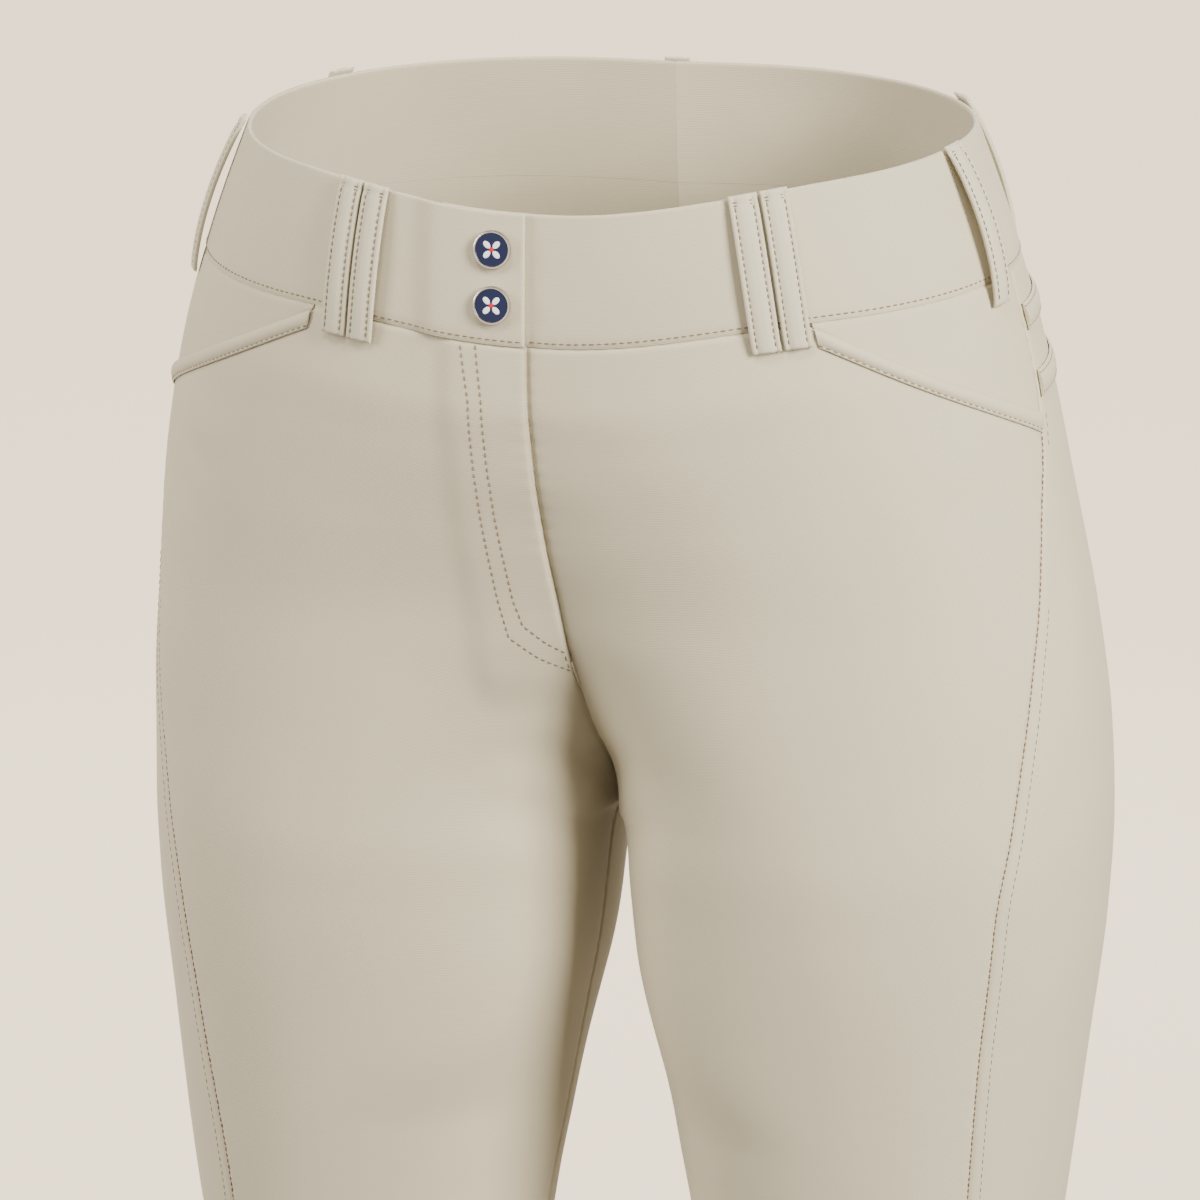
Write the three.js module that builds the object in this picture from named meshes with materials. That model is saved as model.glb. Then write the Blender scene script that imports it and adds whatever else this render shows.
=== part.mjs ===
// Riding breeches as worn: hollow cloth from the waist to the ankles, closed by two snaps over a fly.
// Millimetres. +Z is up, +X is the wearer's left and -Y the front. The origin is the middle of the waist opening.
import * as THREE from 'three';

// Cloth thicknesses and the clearances between pieces
const LEG_CLOTH = 1.6;
const BAND_CLOTH = 2;
const BAND_PROUD = 0.3;
const SEAM_GAP = 0.3;
const SIDE_SEAM_GAP = 0.35;
const ON_TOP_GAP = 0.45;

// Levels below the middle of the waist opening
const BAND_HEIGHT = 51;
const CROTCH_LEVEL = -272;
const FLY_BOTTOM = -203;
const ARCH_END = -400;

// The waist opening slopes down to the front and dips round the closing; both fade out over the hips
const WAIST_SLOPE = 0.12;
const FRONT_DIP = 9;
const DIP_MIDDLE = 8;
const DIP_HALF_WIDTH = 110;
const SLOPE_FULL_ABOVE = -60;
const SLOPE_NONE_BELOW = -215;

// Overlaps at the front closing, measured from the centre line
const BAND_UNDERLAP = 34;
const FLY_SHIELD_WIDTH = 26;
const LIFT_RUN = 12;

// Rows of a table as objects with named columns
function table(columns, rows) {
  return rows.map((row) => Object.fromEntries(columns.map((column, index) => [column, row[index]])));
}

// Outline of one half at each level: its outermost, foremost and rearmost points
const OUTLINE = table(['level', 'sideX', 'sideY', 'frontX', 'frontY', 'backX', 'backY'], [
  [5, 144.5, 8, 20, -104, 30, 98],
  [-53, 165.5, 6, 24, -106, 40, 106],
  [-75, 172, 5, 30, -106, 47, 111],
  [-98, 177.5, 3, 37, -103.5, 56, 117],
  [-138, 184.5, 1, 53, -97.5, 68, 125],
  [-188, 191.5, 1, 73, -91, 79, 127],
  [-233, 196, 2, 87, -89.5, 88, 118],
  [-274, 197, 3, 97, -89, 95, 105],
  [-308, 195.5, 3, 101, -86, 101, 97],
  [-358, 190, 3, 104, -80, 104, 89],
  [-438, 180.5, 3, 106, -69, 106, 77],
  [-500, 171, 3, 105, -61, 105, 66],
  [-565, 164, 3, 104, -57, 104, 58],
  [-620, 160, 6, 103, -50, 103, 60],
  [-690, 157, 10, 101, -44, 101, 68],
  [-770, 146, 12, 99, -38, 99, 58],
  [-850, 134, 12, 97, -31, 97, 46],
  [-930, 132, 11, 96, -27, 96, 42],
]);

// Centre line of the front and the back above the crotch
const CENTRE_LINE = table(['level', 'frontY', 'backY'], [
  [5, -103.5, 97],
  [-53, -105, 103],
  [-75, -104.6, 108],
  [-92, -102, 111],
  [-112, -98.5, 114],
  [-132, -93, 115.5],
  [-153, -87.4, 114.5],
  [-174, -80.6, 111],
  [-193, -73.8, 104],
  [-212, -62, 92],
  [-232, -45.5, 72],
  [-254, -19, 40],
  [-265, -6.5, 17],
  [-272, 1, 1],
]);

// Inner edge of one leg below the crotch
const INNER_LEG = table(['level', 'innerX', 'innerY'], [
  [5, 0, 1],
  [-272, 0, 1],
  [-274, 2.2, 1],
  [-278, 4.2, 1],
  [-286, 6.2, 1],
  [-308, 8.8, 2],
  [-328, 11, 2],
  [-358, 16.6, 3],
  [-408, 25.6, 3],
  [-438, 31.4, 3],
  [-500, 40, 3],
  [-565, 44, 3],
  [-620, 45, 6],
  [-690, 45, 10],
  [-770, 52, 12],
  [-850, 60, 12],
  [-930, 60, 11],
]);

// Where the side seams run: 1 is the front of a leg, 2 its outer side
const SIDE_SEAM = table(['level', 'left', 'right'], [
  [5, 1.97, 1.97],
  [-91, 1.955, 1.955],
  [-115, 1.92, 1.92],
  [-144, 1.84, 1.86],
  [-174, 1.76, 1.8],
  [-204, 1.68, 1.75],
  [-234, 1.61, 1.69],
  [-265, 1.55, 1.61],
  [-296, 1.5, 1.545],
  [-329, 1.48, 1.5],
  [-362, 1.467, 1.465],
  [-438, 1.46, 1.39],
  [-565, 1.5, 1.42],
  [-700, 1.58, 1.5],
  [-930, 1.7, 1.6],
]);

// The hips stand a little to the wearer's right of the legs
const SWAY = table(['level', 'x'], [
  [5, 0],
  [-53, 0],
  [-128, 2],
  [-198, 6.5],
  [-272, 9],
  [-338, 8.5],
  [-438, 7.5],
  [-930, 7.5],
]);

// Levels of the panel rows, closer together where the form turns
const ROW_LEVELS = [
  -51.3, -66, -82, -98, -115, -132, -149, -166, -183, -199, -214, -228, -241, -251, -259, -265, -269, -272,
  -274, -278, -285, -296, -311, -331, -356, -385, -415, -450, -487, -526, -565, -605, -645, -690, -735, -780,
  -830, -880, -930,
];

// A smooth curve through one column of a table, which never overshoots between its rows
function smoothColumn(rows, column) {
  const levels = rows.map((row) => row.level);
  const values = rows.map((row) => row[column]);
  const last = rows.length - 1;
  const steps = [];
  for (let i = 0; i < last; i += 1) {
    steps.push((values[i + 1] - values[i]) / (levels[i + 1] - levels[i]));
  }
  const slopes = values.map((value, i) => {
    if (i === 0) return steps[0];
    if (i === last) return steps[last - 1];
    const before = steps[i - 1];
    const after = steps[i];
    if (before * after <= 0) return 0;
    const widthBefore = levels[i] - levels[i - 1];
    const widthAfter = levels[i + 1] - levels[i];
    const weightBefore = 2 * widthAfter + widthBefore;
    const weightAfter = widthAfter + 2 * widthBefore;
    return (weightBefore + weightAfter) / (weightBefore / before + weightAfter / after);
  });
  return (level) => {
    if (level >= levels[0]) return values[0];
    if (level <= levels[last]) return values[last];
    let i = 0;
    while (level < levels[i + 1]) i += 1;
    const width = levels[i + 1] - levels[i];
    const t = (level - levels[i]) / width;
    const start = values[i] * (1 + 2 * t) * (1 - t) ** 2 + slopes[i] * width * t * (1 - t) ** 2;
    const end = values[i + 1] * (3 - 2 * t) * t ** 2 - slopes[i + 1] * width * (1 - t) * t ** 2;
    return start + end;
  };
}

function smoothTable(rows) {
  const columns = Object.keys(rows[0]).filter((column) => column !== 'level');
  return Object.fromEntries(columns.map((column) => [column, smoothColumn(rows, column)]));
}

const outline = smoothTable(OUTLINE);
const centreLine = smoothTable(CENTRE_LINE);
const innerLeg = smoothTable(INNER_LEG);
const sideSeam = smoothTable(SIDE_SEAM);
const sway = smoothTable(SWAY).x;

const QUARTER = Math.PI / 2;

// Blends from 0 to 1 with level ends
function ease(from, to, value) {
  return THREE.MathUtils.smoothstep(value, from, to);
}

// Height of a point over its level, from the slope and the dip of the waist
function waistRise(level, x, y) {
  const inFront = ease(-50, 20, y);
  const dip = FRONT_DIP * (1 - ease(0, DIP_HALF_WIDTH, Math.abs(x - DIP_MIDDLE))) * (1 - inFront);
  return (WAIST_SLOPE * y - dip) * ease(SLOPE_NONE_BELOW, SLOPE_FULL_ABOVE, level);
}

// Where the front starts and the back ends on the way round one half, in quarters
function roundStart(level) {
  if (level <= CROTCH_LEVEL) return 0;
  const innerY = innerLeg.innerY(level);
  const reach = (centreLine.frontY(level) - innerY) / (outline.frontY(level) - innerY);
  return Math.asin(THREE.MathUtils.clamp(reach, 0, 1)) / QUARTER;
}

function roundEnd(level) {
  if (level <= CROTCH_LEVEL) return 4;
  const innerY = innerLeg.innerY(level);
  const reach = (centreLine.backY(level) - innerY) / (outline.backY(level) - innerY);
  return 4 - Math.asin(THREE.MathUtils.clamp(reach, 0, 1)) / QUARTER;
}

// The arch between the legs stays close to the inner edge at the crotch and widens down the thigh
function archPower(level) {
  return 1 + 11 * ease(ARCH_END, CROTCH_LEVEL, level);
}

// Point of one half before it is set on its side: 0 inner, 1 front, 2 outer, 3 back and 4 inner again
function halfPoint(level, round) {
  const sideX = outline.sideX(level);
  const sideY = outline.sideY(level);
  const frontX = outline.frontX(level);
  const frontY = outline.frontY(level);
  const backX = outline.backX(level);
  const backY = outline.backY(level);
  const innerX = innerLeg.innerX(level);
  const innerY = innerLeg.innerY(level);
  const angle = round * QUARTER;
  if (round < 1) {
    const width = frontX / Math.cos(roundStart(level) * QUARTER);
    const across = frontX - width * Math.cos(angle) + innerX * Math.cos(angle) ** archPower(level);
    return [across, innerY + (frontY - innerY) * Math.sin(angle)];
  }
  if (round < 2) {
    return [frontX - (sideX - frontX) * Math.cos(angle), sideY + (frontY - sideY) * Math.sin(angle)];
  }
  if (round < 3) {
    return [backX - (sideX - backX) * Math.cos(angle), sideY - (backY - sideY) * Math.sin(angle)];
  }
  const width = backX / Math.cos((4 - roundEnd(level)) * QUARTER);
  const across = backX - width * Math.cos(angle) + innerX * Math.cos(angle) ** archPower(level);
  return [across, innerY - (backY - innerY) * Math.sin(angle)];
}

// Point of the cloth's outer face; past the centre line it carries on round the other half
function clothPoint(side, level, round) {
  let half = side;
  let position = round;
  const start = roundStart(level);
  const end = roundEnd(level);
  if (level > CROTCH_LEVEL && position < start) {
    half = -side;
    position = 2 * start - position;
  } else if (level > CROTCH_LEVEL && position > end) {
    half = -side;
    position = 2 * end - position;
  } else {
    position = THREE.MathUtils.euclideanModulo(position, 4);
  }
  const [across, y] = halfPoint(level, position);
  const x = half * across + sway(level);
  return new THREE.Vector3(x, y, level + waistRise(level, x, y));
}

const ROUND_STEP = 0.01;
const LEVEL_STEP = 1.5;

function roundTangent(side, level, round) {
  const ahead = clothPoint(side, level, round + ROUND_STEP);
  return ahead.sub(clothPoint(side, level, round - ROUND_STEP)).divideScalar(2 * ROUND_STEP);
}

function clothNormal(side, level, round) {
  const down = clothPoint(side, level - LEVEL_STEP, round).sub(clothPoint(side, level + LEVEL_STEP, round));
  return down.cross(roundTangent(side, level, round)).multiplyScalar(side).normalize();
}

// Point at a height over the outer face, kept on its own side of the centre line unless it crosses it
function overCloth(side, level, round, height, crosses) {
  const point = clothPoint(side, level, round).addScaledVector(clothNormal(side, level, round), height);
  if (!crosses) {
    const middle = sway(level);
    const across = Math.max(side * (point.x - middle), SEAM_GAP / 2);
    point.x = middle + side * across;
  }
  return point;
}

// Position round the half that lies a distance along the cloth from another
function roundBeyond(side, level, round, distance) {
  return round + distance / roundTangent(side, level, round).length();
}

// Position round the half at a distance from the centre front, measured straight across
function roundAtWidth(level, width) {
  let low = roundStart(level);
  let high = 2;
  for (let i = 0; i < 40; i += 1) {
    const middle = (low + high) / 2;
    if (halfPoint(level, middle)[0] < width) low = middle;
    else high = middle;
  }
  return (low + high) / 2;
}

// Closed wall between an outer and an inner grid of points, rows by columns
function wallGeometry(outer, inner, flip) {
  const rows = outer.length;
  const columns = outer[0].length;
  const positions = [...outer.flat(), ...inner.flat()].flatMap((point) => point.toArray());
  const triangles = [];
  const outerAt = (row, column) => row * columns + column;
  const innerAt = (row, column) => rows * columns + row * columns + column;
  const quad = (a, b, c, d) => {
    if (flip) triangles.push(a, c, b, a, d, c);
    else triangles.push(a, b, c, a, c, d);
  };
  for (let row = 0; row < rows - 1; row += 1) {
    for (let column = 0; column < columns - 1; column += 1) {
      const next = column + 1;
      quad(outerAt(row, column), outerAt(row + 1, column), outerAt(row + 1, next), outerAt(row, next));
      quad(innerAt(row, column), innerAt(row, next), innerAt(row + 1, next), innerAt(row + 1, column));
    }
    const end = columns - 1;
    quad(outerAt(row, 0), innerAt(row, 0), innerAt(row + 1, 0), outerAt(row + 1, 0));
    quad(outerAt(row, end), outerAt(row + 1, end), innerAt(row + 1, end), innerAt(row, end));
  }
  for (let column = 0; column < columns - 1; column += 1) {
    const next = column + 1;
    const bottom = rows - 1;
    quad(outerAt(0, column), outerAt(0, next), innerAt(0, next), innerAt(0, column));
    quad(outerAt(bottom, column), innerAt(bottom, column), innerAt(bottom, next), outerAt(bottom, next));
  }
  const geometry = new THREE.BufferGeometry();
  geometry.setAttribute('position', new THREE.Float32BufferAttribute(positions, 3));
  geometry.setIndex(triangles);
  geometry.computeVertexNormals();
  return geometry;
}

const CLOTH_LOOK = { color: 0xcfc8b6, roughness: 0.75, metalness: 0 };
const METAL_LOOK = { color: 0xb9bcc0, roughness: 0.3, metalness: 1 };

const group = new THREE.Group();

function addPiece(name, geometry, look) {
  const mesh = new THREE.Mesh(geometry, new THREE.MeshStandardMaterial(look));
  mesh.name = name;
  group.add(mesh);
  return mesh;
}

// Wall of cloth over a grid; place gives a row and column their level, round and the heights of both faces
function addCloth(name, side, rows, columns, place) {
  const outer = [];
  const inner = [];
  for (let row = 0; row <= rows; row += 1) {
    const outerRow = [];
    const innerRow = [];
    for (let column = 0; column <= columns; column += 1) {
      const { level, round, top, bottom, crosses } = place(row, column);
      outerRow.push(overCloth(side, level, round, top, crosses));
      innerRow.push(overCloth(side, level, round, bottom, crosses));
    }
    outer.push(outerRow);
    inner.push(innerRow);
  }
  addPiece(name, wallGeometry(outer, inner, side < 0), CLOTH_LOOK);
}

const SIDES = [
  { side: 1, label: 'left' },
  { side: -1, label: 'right' },
];
const PANEL_TOP = -BAND_HEIGHT - SEAM_GAP;

// Side seam of one half, with the panels on both sides set back from it
function seamRound(half, level, setBack) {
  return roundBeyond(half.side, level, sideSeam[half.label](level), setBack);
}

// Slant pockets: the opening runs from the waistband to the side seam
const POCKET_BOTTOM = -105;
const POCKET_BOW = 0.1;
const POCKET_START = { left: 1.388, right: 1.293 };
const POCKET_COLUMNS = 6;
const CENTRE_WIDTHS = [0, 13, 27, 33, 39, 60];
const CENTRE_COLUMNS = CENTRE_WIDTHS.length;
const POCKET_JOIN_ROW = 6;

// Level of the pocket opening, across from its start at 0 to the side seam at 1
function pocketLevel(across) {
  return THREE.MathUtils.lerp(PANEL_TOP, POCKET_BOTTOM, across + POCKET_BOW * Math.sin(Math.PI * across));
}

// How far the right front stands out over the fly shield
function flyLift(half, level, round) {
  if (half.side > 0) return 0;
  const width = halfPoint(level, round)[0];
  const overShield = 1 - ease(FLY_SHIELD_WIDTH + 1, FLY_SHIELD_WIDTH + 1 + LIFT_RUN, width);
  return (LEG_CLOTH + ON_TOP_GAP) * overShield * ease(FLY_BOTTOM - 22, FLY_BOTTOM - 2, level);
}

// Where the pocket columns start: at the pocket's start at the top, halfway round the panel lower down
function pocketSplit(half, level, seam, down) {
  const halfway = THREE.MathUtils.lerp(roundStart(level), seam, 0.5);
  return THREE.MathUtils.lerp(POCKET_START[half.label], halfway, ease(0, 1, down));
}

// The columns nearest the centre stand at set widths along the fly and spread evenly below it
function centreRound(half, level, seam, down, column) {
  const start = roundBeyond(half.side, level, roundStart(level), SEAM_GAP / 2);
  const split = pocketSplit(half, level, seam, down);
  const even = THREE.MathUtils.lerp(start, split, column / CENTRE_COLUMNS);
  if (column === 0) return start;
  const spread = 1 - ease(FLY_BOTTOM - 60, FLY_BOTTOM - 15, level);
  if (spread === 1) return even;
  return THREE.MathUtils.lerp(roundAtWidth(level, CENTRE_WIDTHS[column]), even, spread);
}

function addFrontPanel(half) {
  const columns = CENTRE_COLUMNS + POCKET_COLUMNS;
  addCloth(`front_${half.label}`, half.side, ROW_LEVELS.length - 1, columns, (row, column) => {
    const across = Math.max(0, column - CENTRE_COLUMNS) / POCKET_COLUMNS;
    const down = Math.min(row / POCKET_JOIN_ROW, 1);
    const joinLevel = ROW_LEVELS[POCKET_JOIN_ROW];
    const level = down < 1 ? THREE.MathUtils.lerp(pocketLevel(across), joinLevel, down) : ROW_LEVELS[row];
    const seam = seamRound(half, level, -SEAM_GAP / 2);
    const round = column < CENTRE_COLUMNS
      ? centreRound(half, level, seam, down, column)
      : THREE.MathUtils.lerp(pocketSplit(half, level, seam, down), seam, across);
    const lift = flyLift(half, level, round);
    return { level, round, top: lift, bottom: lift - LEG_CLOTH };
  });
}

function addBackPanel(half) {
  const columns = 12;
  addCloth(`back_${half.label}`, half.side, ROW_LEVELS.length - 1, columns, (row, column) => {
    const level = ROW_LEVELS[row];
    const seam = seamRound(half, level, SIDE_SEAM_GAP - SEAM_GAP / 2);
    const end = roundBeyond(half.side, level, roundEnd(level), -SEAM_GAP / 2);
    const round = THREE.MathUtils.lerp(seam, end, column / columns);
    return { level, round, top: 0, bottom: -LEG_CLOTH };
  });
}

// The cloth that shows in the slant pocket, between its opening, the waistband and the side seam
function addPocketFacing(half) {
  const columns = 6;
  const rows = 3;
  const tip = 0.03;
  addCloth(`pocket_facing_${half.label}`, half.side, rows, columns, (row, column) => {
    const across = THREE.MathUtils.lerp(tip, 1, column / columns);
    const level = THREE.MathUtils.lerp(PANEL_TOP, pocketLevel(across) + SEAM_GAP, row / rows);
    const seam = seamRound(half, level, -SEAM_GAP / 2);
    const round = THREE.MathUtils.lerp(POCKET_START[half.label], seam, across);
    return { level, round, top: 0, bottom: -LEG_CLOTH };
  });
}

// Strips that lie on the cloth are thin at both edges and puffed between them
const STRIP_EDGE = 0.8;
const STRIP_MIDDLE = 1.5;

function stripHeights(column) {
  const thickness = column === 1 ? STRIP_MIDDLE : STRIP_EDGE;
  return { top: ON_TOP_GAP + thickness, bottom: ON_TOP_GAP };
}

// Rolled edge of the slant pocket, on the front just under the opening
const WELT_WIDTH = 7.5;

function addPocketWelt(half) {
  const rows = 12;
  const ends = { start: 0.03, end: 0.985 };
  addCloth(`pocket_welt_${half.label}`, half.side, rows, 2, (row, column) => {
    const across = THREE.MathUtils.lerp(ends.start, ends.end, row / rows);
    const level = pocketLevel(across) - WELT_WIDTH * (1 - column / 2);
    const round = THREE.MathUtils.lerp(POCKET_START[half.label], seamRound(half, level, 0), across);
    return { level, round, ...stripHeights(column) };
  });
}

// Stitched strips on the back, parallel to the waistband: a yoke strip to the centre and a shorter welt
const STRIP_WIDTH = 10;
const BACK_STRIPS = [
  { name: 'yoke_strip', level: -69.5, length: 1 },
  { name: 'back_welt', level: -94.5, length: 0.72 },
];

function addBackStrip(half, strip) {
  const columns = 14;
  const setBack = 1;
  addCloth(`${strip.name}_${half.label}`, half.side, 2, columns, (row, column) => {
    const level = strip.level + STRIP_WIDTH * (0.5 - row / 2);
    const seam = seamRound(half, level, setBack);
    const end = roundBeyond(half.side, level, roundEnd(level), -setBack);
    const round = THREE.MathUtils.lerp(seam, end, strip.length * column / columns);
    return { level, round, ...stripHeights(row) };
  });
}

// Waistband halves: the wearer's right one ends at the centre, over the underlap of the left one
const BAND_ROWS = 4;
const BAND_FRONT_WIDTHS = {
  left: [-BAND_UNDERLAP, -BAND_UNDERLAP / 2, 0, 12, 24, 40, 56],
  right: [0, 12, 24, 35, 41, 47, 56],
};
const BAND_ROUND_COLUMNS = 16;

function bandRound(half, level, column) {
  const widths = BAND_FRONT_WIDTHS[half.label];
  const lastWidth = widths.length - 1;
  const atWidth = (width) => (width < 0
    ? 2 * roundStart(level) - roundAtWidth(level, -width)
    : roundAtWidth(level, width));
  if (column <= lastWidth) return atWidth(widths[column]);
  return THREE.MathUtils.lerp(atWidth(widths[lastWidth]), roundEnd(level), (column - lastWidth) / BAND_ROUND_COLUMNS);
}

function bandLift(half, level, round) {
  if (half.side > 0 || round > 2) return BAND_PROUD;
  const width = halfPoint(level, round)[0];
  const overUnderlap = 1 - ease(BAND_UNDERLAP + 1, BAND_UNDERLAP + 1 + LIFT_RUN, width);
  return BAND_PROUD + (BAND_CLOTH + ON_TOP_GAP) * overUnderlap;
}

function addWaistband(half) {
  const widths = BAND_FRONT_WIDTHS[half.label];
  const columns = widths.length - 1 + BAND_ROUND_COLUMNS;
  addCloth(`waistband_${half.label}`, half.side, BAND_ROWS, columns, (row, column) => {
    const level = -BAND_HEIGHT * row / BAND_ROWS;
    const round = bandRound(half, level, column);
    const top = bandLift(half, level, round);
    const crosses = half.side > 0 && widths[column] <= 0;
    return { level, round, top, bottom: top - BAND_CLOTH, crosses };
  });
}

// The strip behind the fly edge, sewn to the left front and lying under the right one
function addFlyShield() {
  const wearerRight = -1;
  const columns = 3;
  const levels = [PANEL_TOP, ...ROW_LEVELS.filter((level) => level < PANEL_TOP && level > FLY_BOTTOM), FLY_BOTTOM];
  addCloth('fly_shield', wearerRight, levels.length - 1, columns, (row, column) => {
    const level = levels[row];
    const round = column === 0 ? roundStart(level) : roundAtWidth(level, FLY_SHIELD_WIDTH * column / columns);
    return { level, round, top: 0, bottom: -LEG_CLOTH };
  });
}

// Belt loops: where each stands round the waist, and how far it bows out
const LOOP_WIDTH = 11;
const LOOP_CLOTH = 2;
const LOOP_TOP = 1;
const LOOP_BOTTOM = -60;
const PAIR_SPACING = 12;
const LOOP_SEAT = BAND_PROUD + ON_TOP_GAP;
const BELT_LOOPS = [
  { name: 'front_left_inner', side: 1, topRound: 1.352, bottomRound: 1.34, shift: -PAIR_SPACING / 2, bow: 2.2 },
  { name: 'front_left_outer', side: 1, topRound: 1.352, bottomRound: 1.34, shift: PAIR_SPACING / 2, bow: 2.2 },
  { name: 'front_right_inner', side: -1, topRound: 1.24, bottomRound: 1.222, shift: -PAIR_SPACING / 2, bow: 2.2 },
  { name: 'front_right_outer', side: -1, topRound: 1.24, bottomRound: 1.222, shift: PAIR_SPACING / 2, bow: 2.2 },
  { name: 'side_left', side: 1, topRound: 1.86, bottomRound: 1.86, shift: 0, bow: 4.6 },
  { name: 'side_right', side: -1, topRound: 1.83, bottomRound: 1.83, shift: 0, bow: 3.2 },
  { name: 'back_left', side: 1, topRound: 2.36, bottomRound: 2.36, shift: 0, bow: 4.4 },
  { name: 'back_right', side: -1, topRound: 2.36, bottomRound: 2.36, shift: 0, bow: 4.4 },
  { name: 'back_centre', side: 1, atCentreBack: true, shift: 0, bow: 3.6 },
];

function addBeltLoop(loop) {
  const rows = 10;
  addCloth(`belt_loop_${loop.name}`, loop.side, rows, 1, (row, column) => {
    const down = row / rows;
    const level = THREE.MathUtils.lerp(LOOP_TOP, LOOP_BOTTOM, down);
    const middle = loop.atCentreBack ? roundEnd(level) : THREE.MathUtils.lerp(loop.topRound, loop.bottomRound, down);
    const round = roundBeyond(loop.side, level, middle, loop.shift + LOOP_WIDTH * (column - 0.5));
    const bottom = LOOP_SEAT + loop.bow * Math.sin(Math.PI * down) ** 0.7;
    return { level, round, top: bottom + LOOP_CLOTH, bottom, crosses: loop.atCentreBack };
  });
}

// Snap caps on the closing
const SNAP_RADIUS = 7.5;
const SNAP_WIDTH_IN = 12.3;
const SNAPS = [
  { name: 'snap_upper', level: -14.3 },
  { name: 'snap_lower', level: -35.6 },
];

function addSnap(snap) {
  const profile = [
    new THREE.Vector2(0, 0),
    new THREE.Vector2(SNAP_RADIUS - 1.6, 0),
    new THREE.Vector2(SNAP_RADIUS, 0.7),
    new THREE.Vector2(SNAP_RADIUS, 1.7),
    new THREE.Vector2(SNAP_RADIUS - 0.5, 2.3),
    new THREE.Vector2(SNAP_RADIUS - 1.1, 2.1),
    new THREE.Vector2(0, 2.5),
  ];
  const mesh = addPiece(snap.name, new THREE.LatheGeometry(profile, 28), METAL_LOOK);
  const wearerRight = -1;
  const round = roundAtWidth(snap.level, SNAP_WIDTH_IN);
  const seat = BAND_PROUD + BAND_CLOTH + 2 * ON_TOP_GAP;
  mesh.position.copy(overCloth(wearerRight, snap.level, round, seat));
  const outward = clothNormal(wearerRight, snap.level, round);
  mesh.quaternion.setFromUnitVectors(new THREE.Vector3(0, 1, 0), outward);
}

for (const half of SIDES) {
  addWaistband(half);
  addFrontPanel(half);
  addBackPanel(half);
  addPocketFacing(half);
  addPocketWelt(half);
  BACK_STRIPS.forEach((strip) => addBackStrip(half, strip));
}
addFlyShield();
BELT_LOOPS.forEach(addBeltLoop);
SNAPS.forEach(addSnap);

export default group;
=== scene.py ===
"""Riding breeches as worn: hollow cloth from the waist to the ankles, closed by two snaps over a fly.

Sizes are in millimetres and mesh points in metres. +Z is up, +X the wearer's left and -Y the front.
"""

import math
from collections import namedtuple

import bpy
import numpy as np
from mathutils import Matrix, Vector


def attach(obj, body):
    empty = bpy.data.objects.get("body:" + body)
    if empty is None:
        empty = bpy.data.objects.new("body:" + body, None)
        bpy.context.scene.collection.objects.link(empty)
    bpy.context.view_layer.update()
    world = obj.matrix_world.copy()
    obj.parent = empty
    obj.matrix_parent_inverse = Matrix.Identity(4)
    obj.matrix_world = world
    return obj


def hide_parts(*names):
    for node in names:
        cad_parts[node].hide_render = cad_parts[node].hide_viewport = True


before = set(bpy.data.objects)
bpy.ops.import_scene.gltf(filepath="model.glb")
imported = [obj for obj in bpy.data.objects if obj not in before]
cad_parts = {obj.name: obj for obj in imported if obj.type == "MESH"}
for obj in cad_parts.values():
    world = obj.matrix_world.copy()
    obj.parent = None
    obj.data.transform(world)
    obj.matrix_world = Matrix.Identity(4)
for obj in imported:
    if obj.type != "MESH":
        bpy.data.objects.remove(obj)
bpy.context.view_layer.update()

MM = 0.001
QUARTER = math.pi / 2

# Cloth thicknesses and clearances
LEG_CLOTH = 1.6
BAND_CLOTH = 2.0
BAND_PROUD = 0.3
SEAM_GAP = 0.06
SIDE_SEAM_GAP = 0.2
ON_TOP_GAP = 0.45

# Levels below the middle of the waist opening
BAND_HEIGHT = 51.0
CROTCH_LEVEL = -272.0
HEM_LEVEL = -930.0
FLY_BOTTOM = -203.0
ARCH_END = -400.0
ARCH_SHARPNESS = 11
PANEL_TOP = -BAND_HEIGHT - SEAM_GAP

# Slope and dip of the waist
WAIST_SLOPE = 0.12
FRONT_DIP = 9.0
DIP_MIDDLE = 8.0
DIP_HALF_WIDTH = 110.0
DIP_FULL_AT_Y = -50.0
DIP_NONE_AT_Y = 20.0
SLOPE_FULL_ABOVE = -60.0
SLOPE_NONE_BELOW = -215.0

# Overlaps at the front closing
BAND_UNDERLAP = 34.0
FLY_SHIELD_WIDTH = 26.0
LIFT_RUN = 12.0

OUTLINE = [
    ("level", "side_x", "side_y", "front_x", "front_y", "back_x", "back_y"),
    (5, 144.5, 8, 20, -104, 30, 98),
    (-53, 165.5, 6, 24, -106, 40, 106),
    (-75, 172, 5, 30, -106, 47, 111),
    (-98, 177.5, 3, 37, -103.5, 56, 117),
    (-138, 184.5, 1, 53, -97.5, 68, 125),
    (-188, 191.5, 1, 73, -91, 79, 127),
    (-233, 196, 2, 87, -89.5, 88, 118),
    (-274, 197, 3, 97, -89, 95, 105),
    (-308, 195.5, 3, 101, -86, 101, 97),
    (-358, 190, 3, 104, -80, 104, 89),
    (-438, 180.5, 3, 106, -69, 106, 77),
    (-500, 171, 3, 105, -61, 105, 66),
    (-565, 164, 3, 104, -57, 104, 58),
    (-620, 160, 6, 103, -50, 103, 60),
    (-690, 157, 10, 101, -44, 101, 68),
    (-770, 146, 12, 99, -38, 99, 58),
    (-850, 134, 12, 97, -31, 97, 46),
    (-930, 132, 11, 96, -27, 96, 42),
]

CENTRE_LINE = [
    ("level", "front_y", "back_y"),
    (5, -103.5, 97),
    (-53, -105, 103),
    (-75, -104.6, 108),
    (-92, -102, 111),
    (-112, -98.5, 114),
    (-132, -93, 115.5),
    (-153, -87.4, 114.5),
    (-174, -80.6, 111),
    (-193, -73.8, 104),
    (-212, -62, 92),
    (-232, -45.5, 72),
    (-254, -19, 40),
    (-265, -6.5, 17),
    (-272, 1, 1),
]

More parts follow.
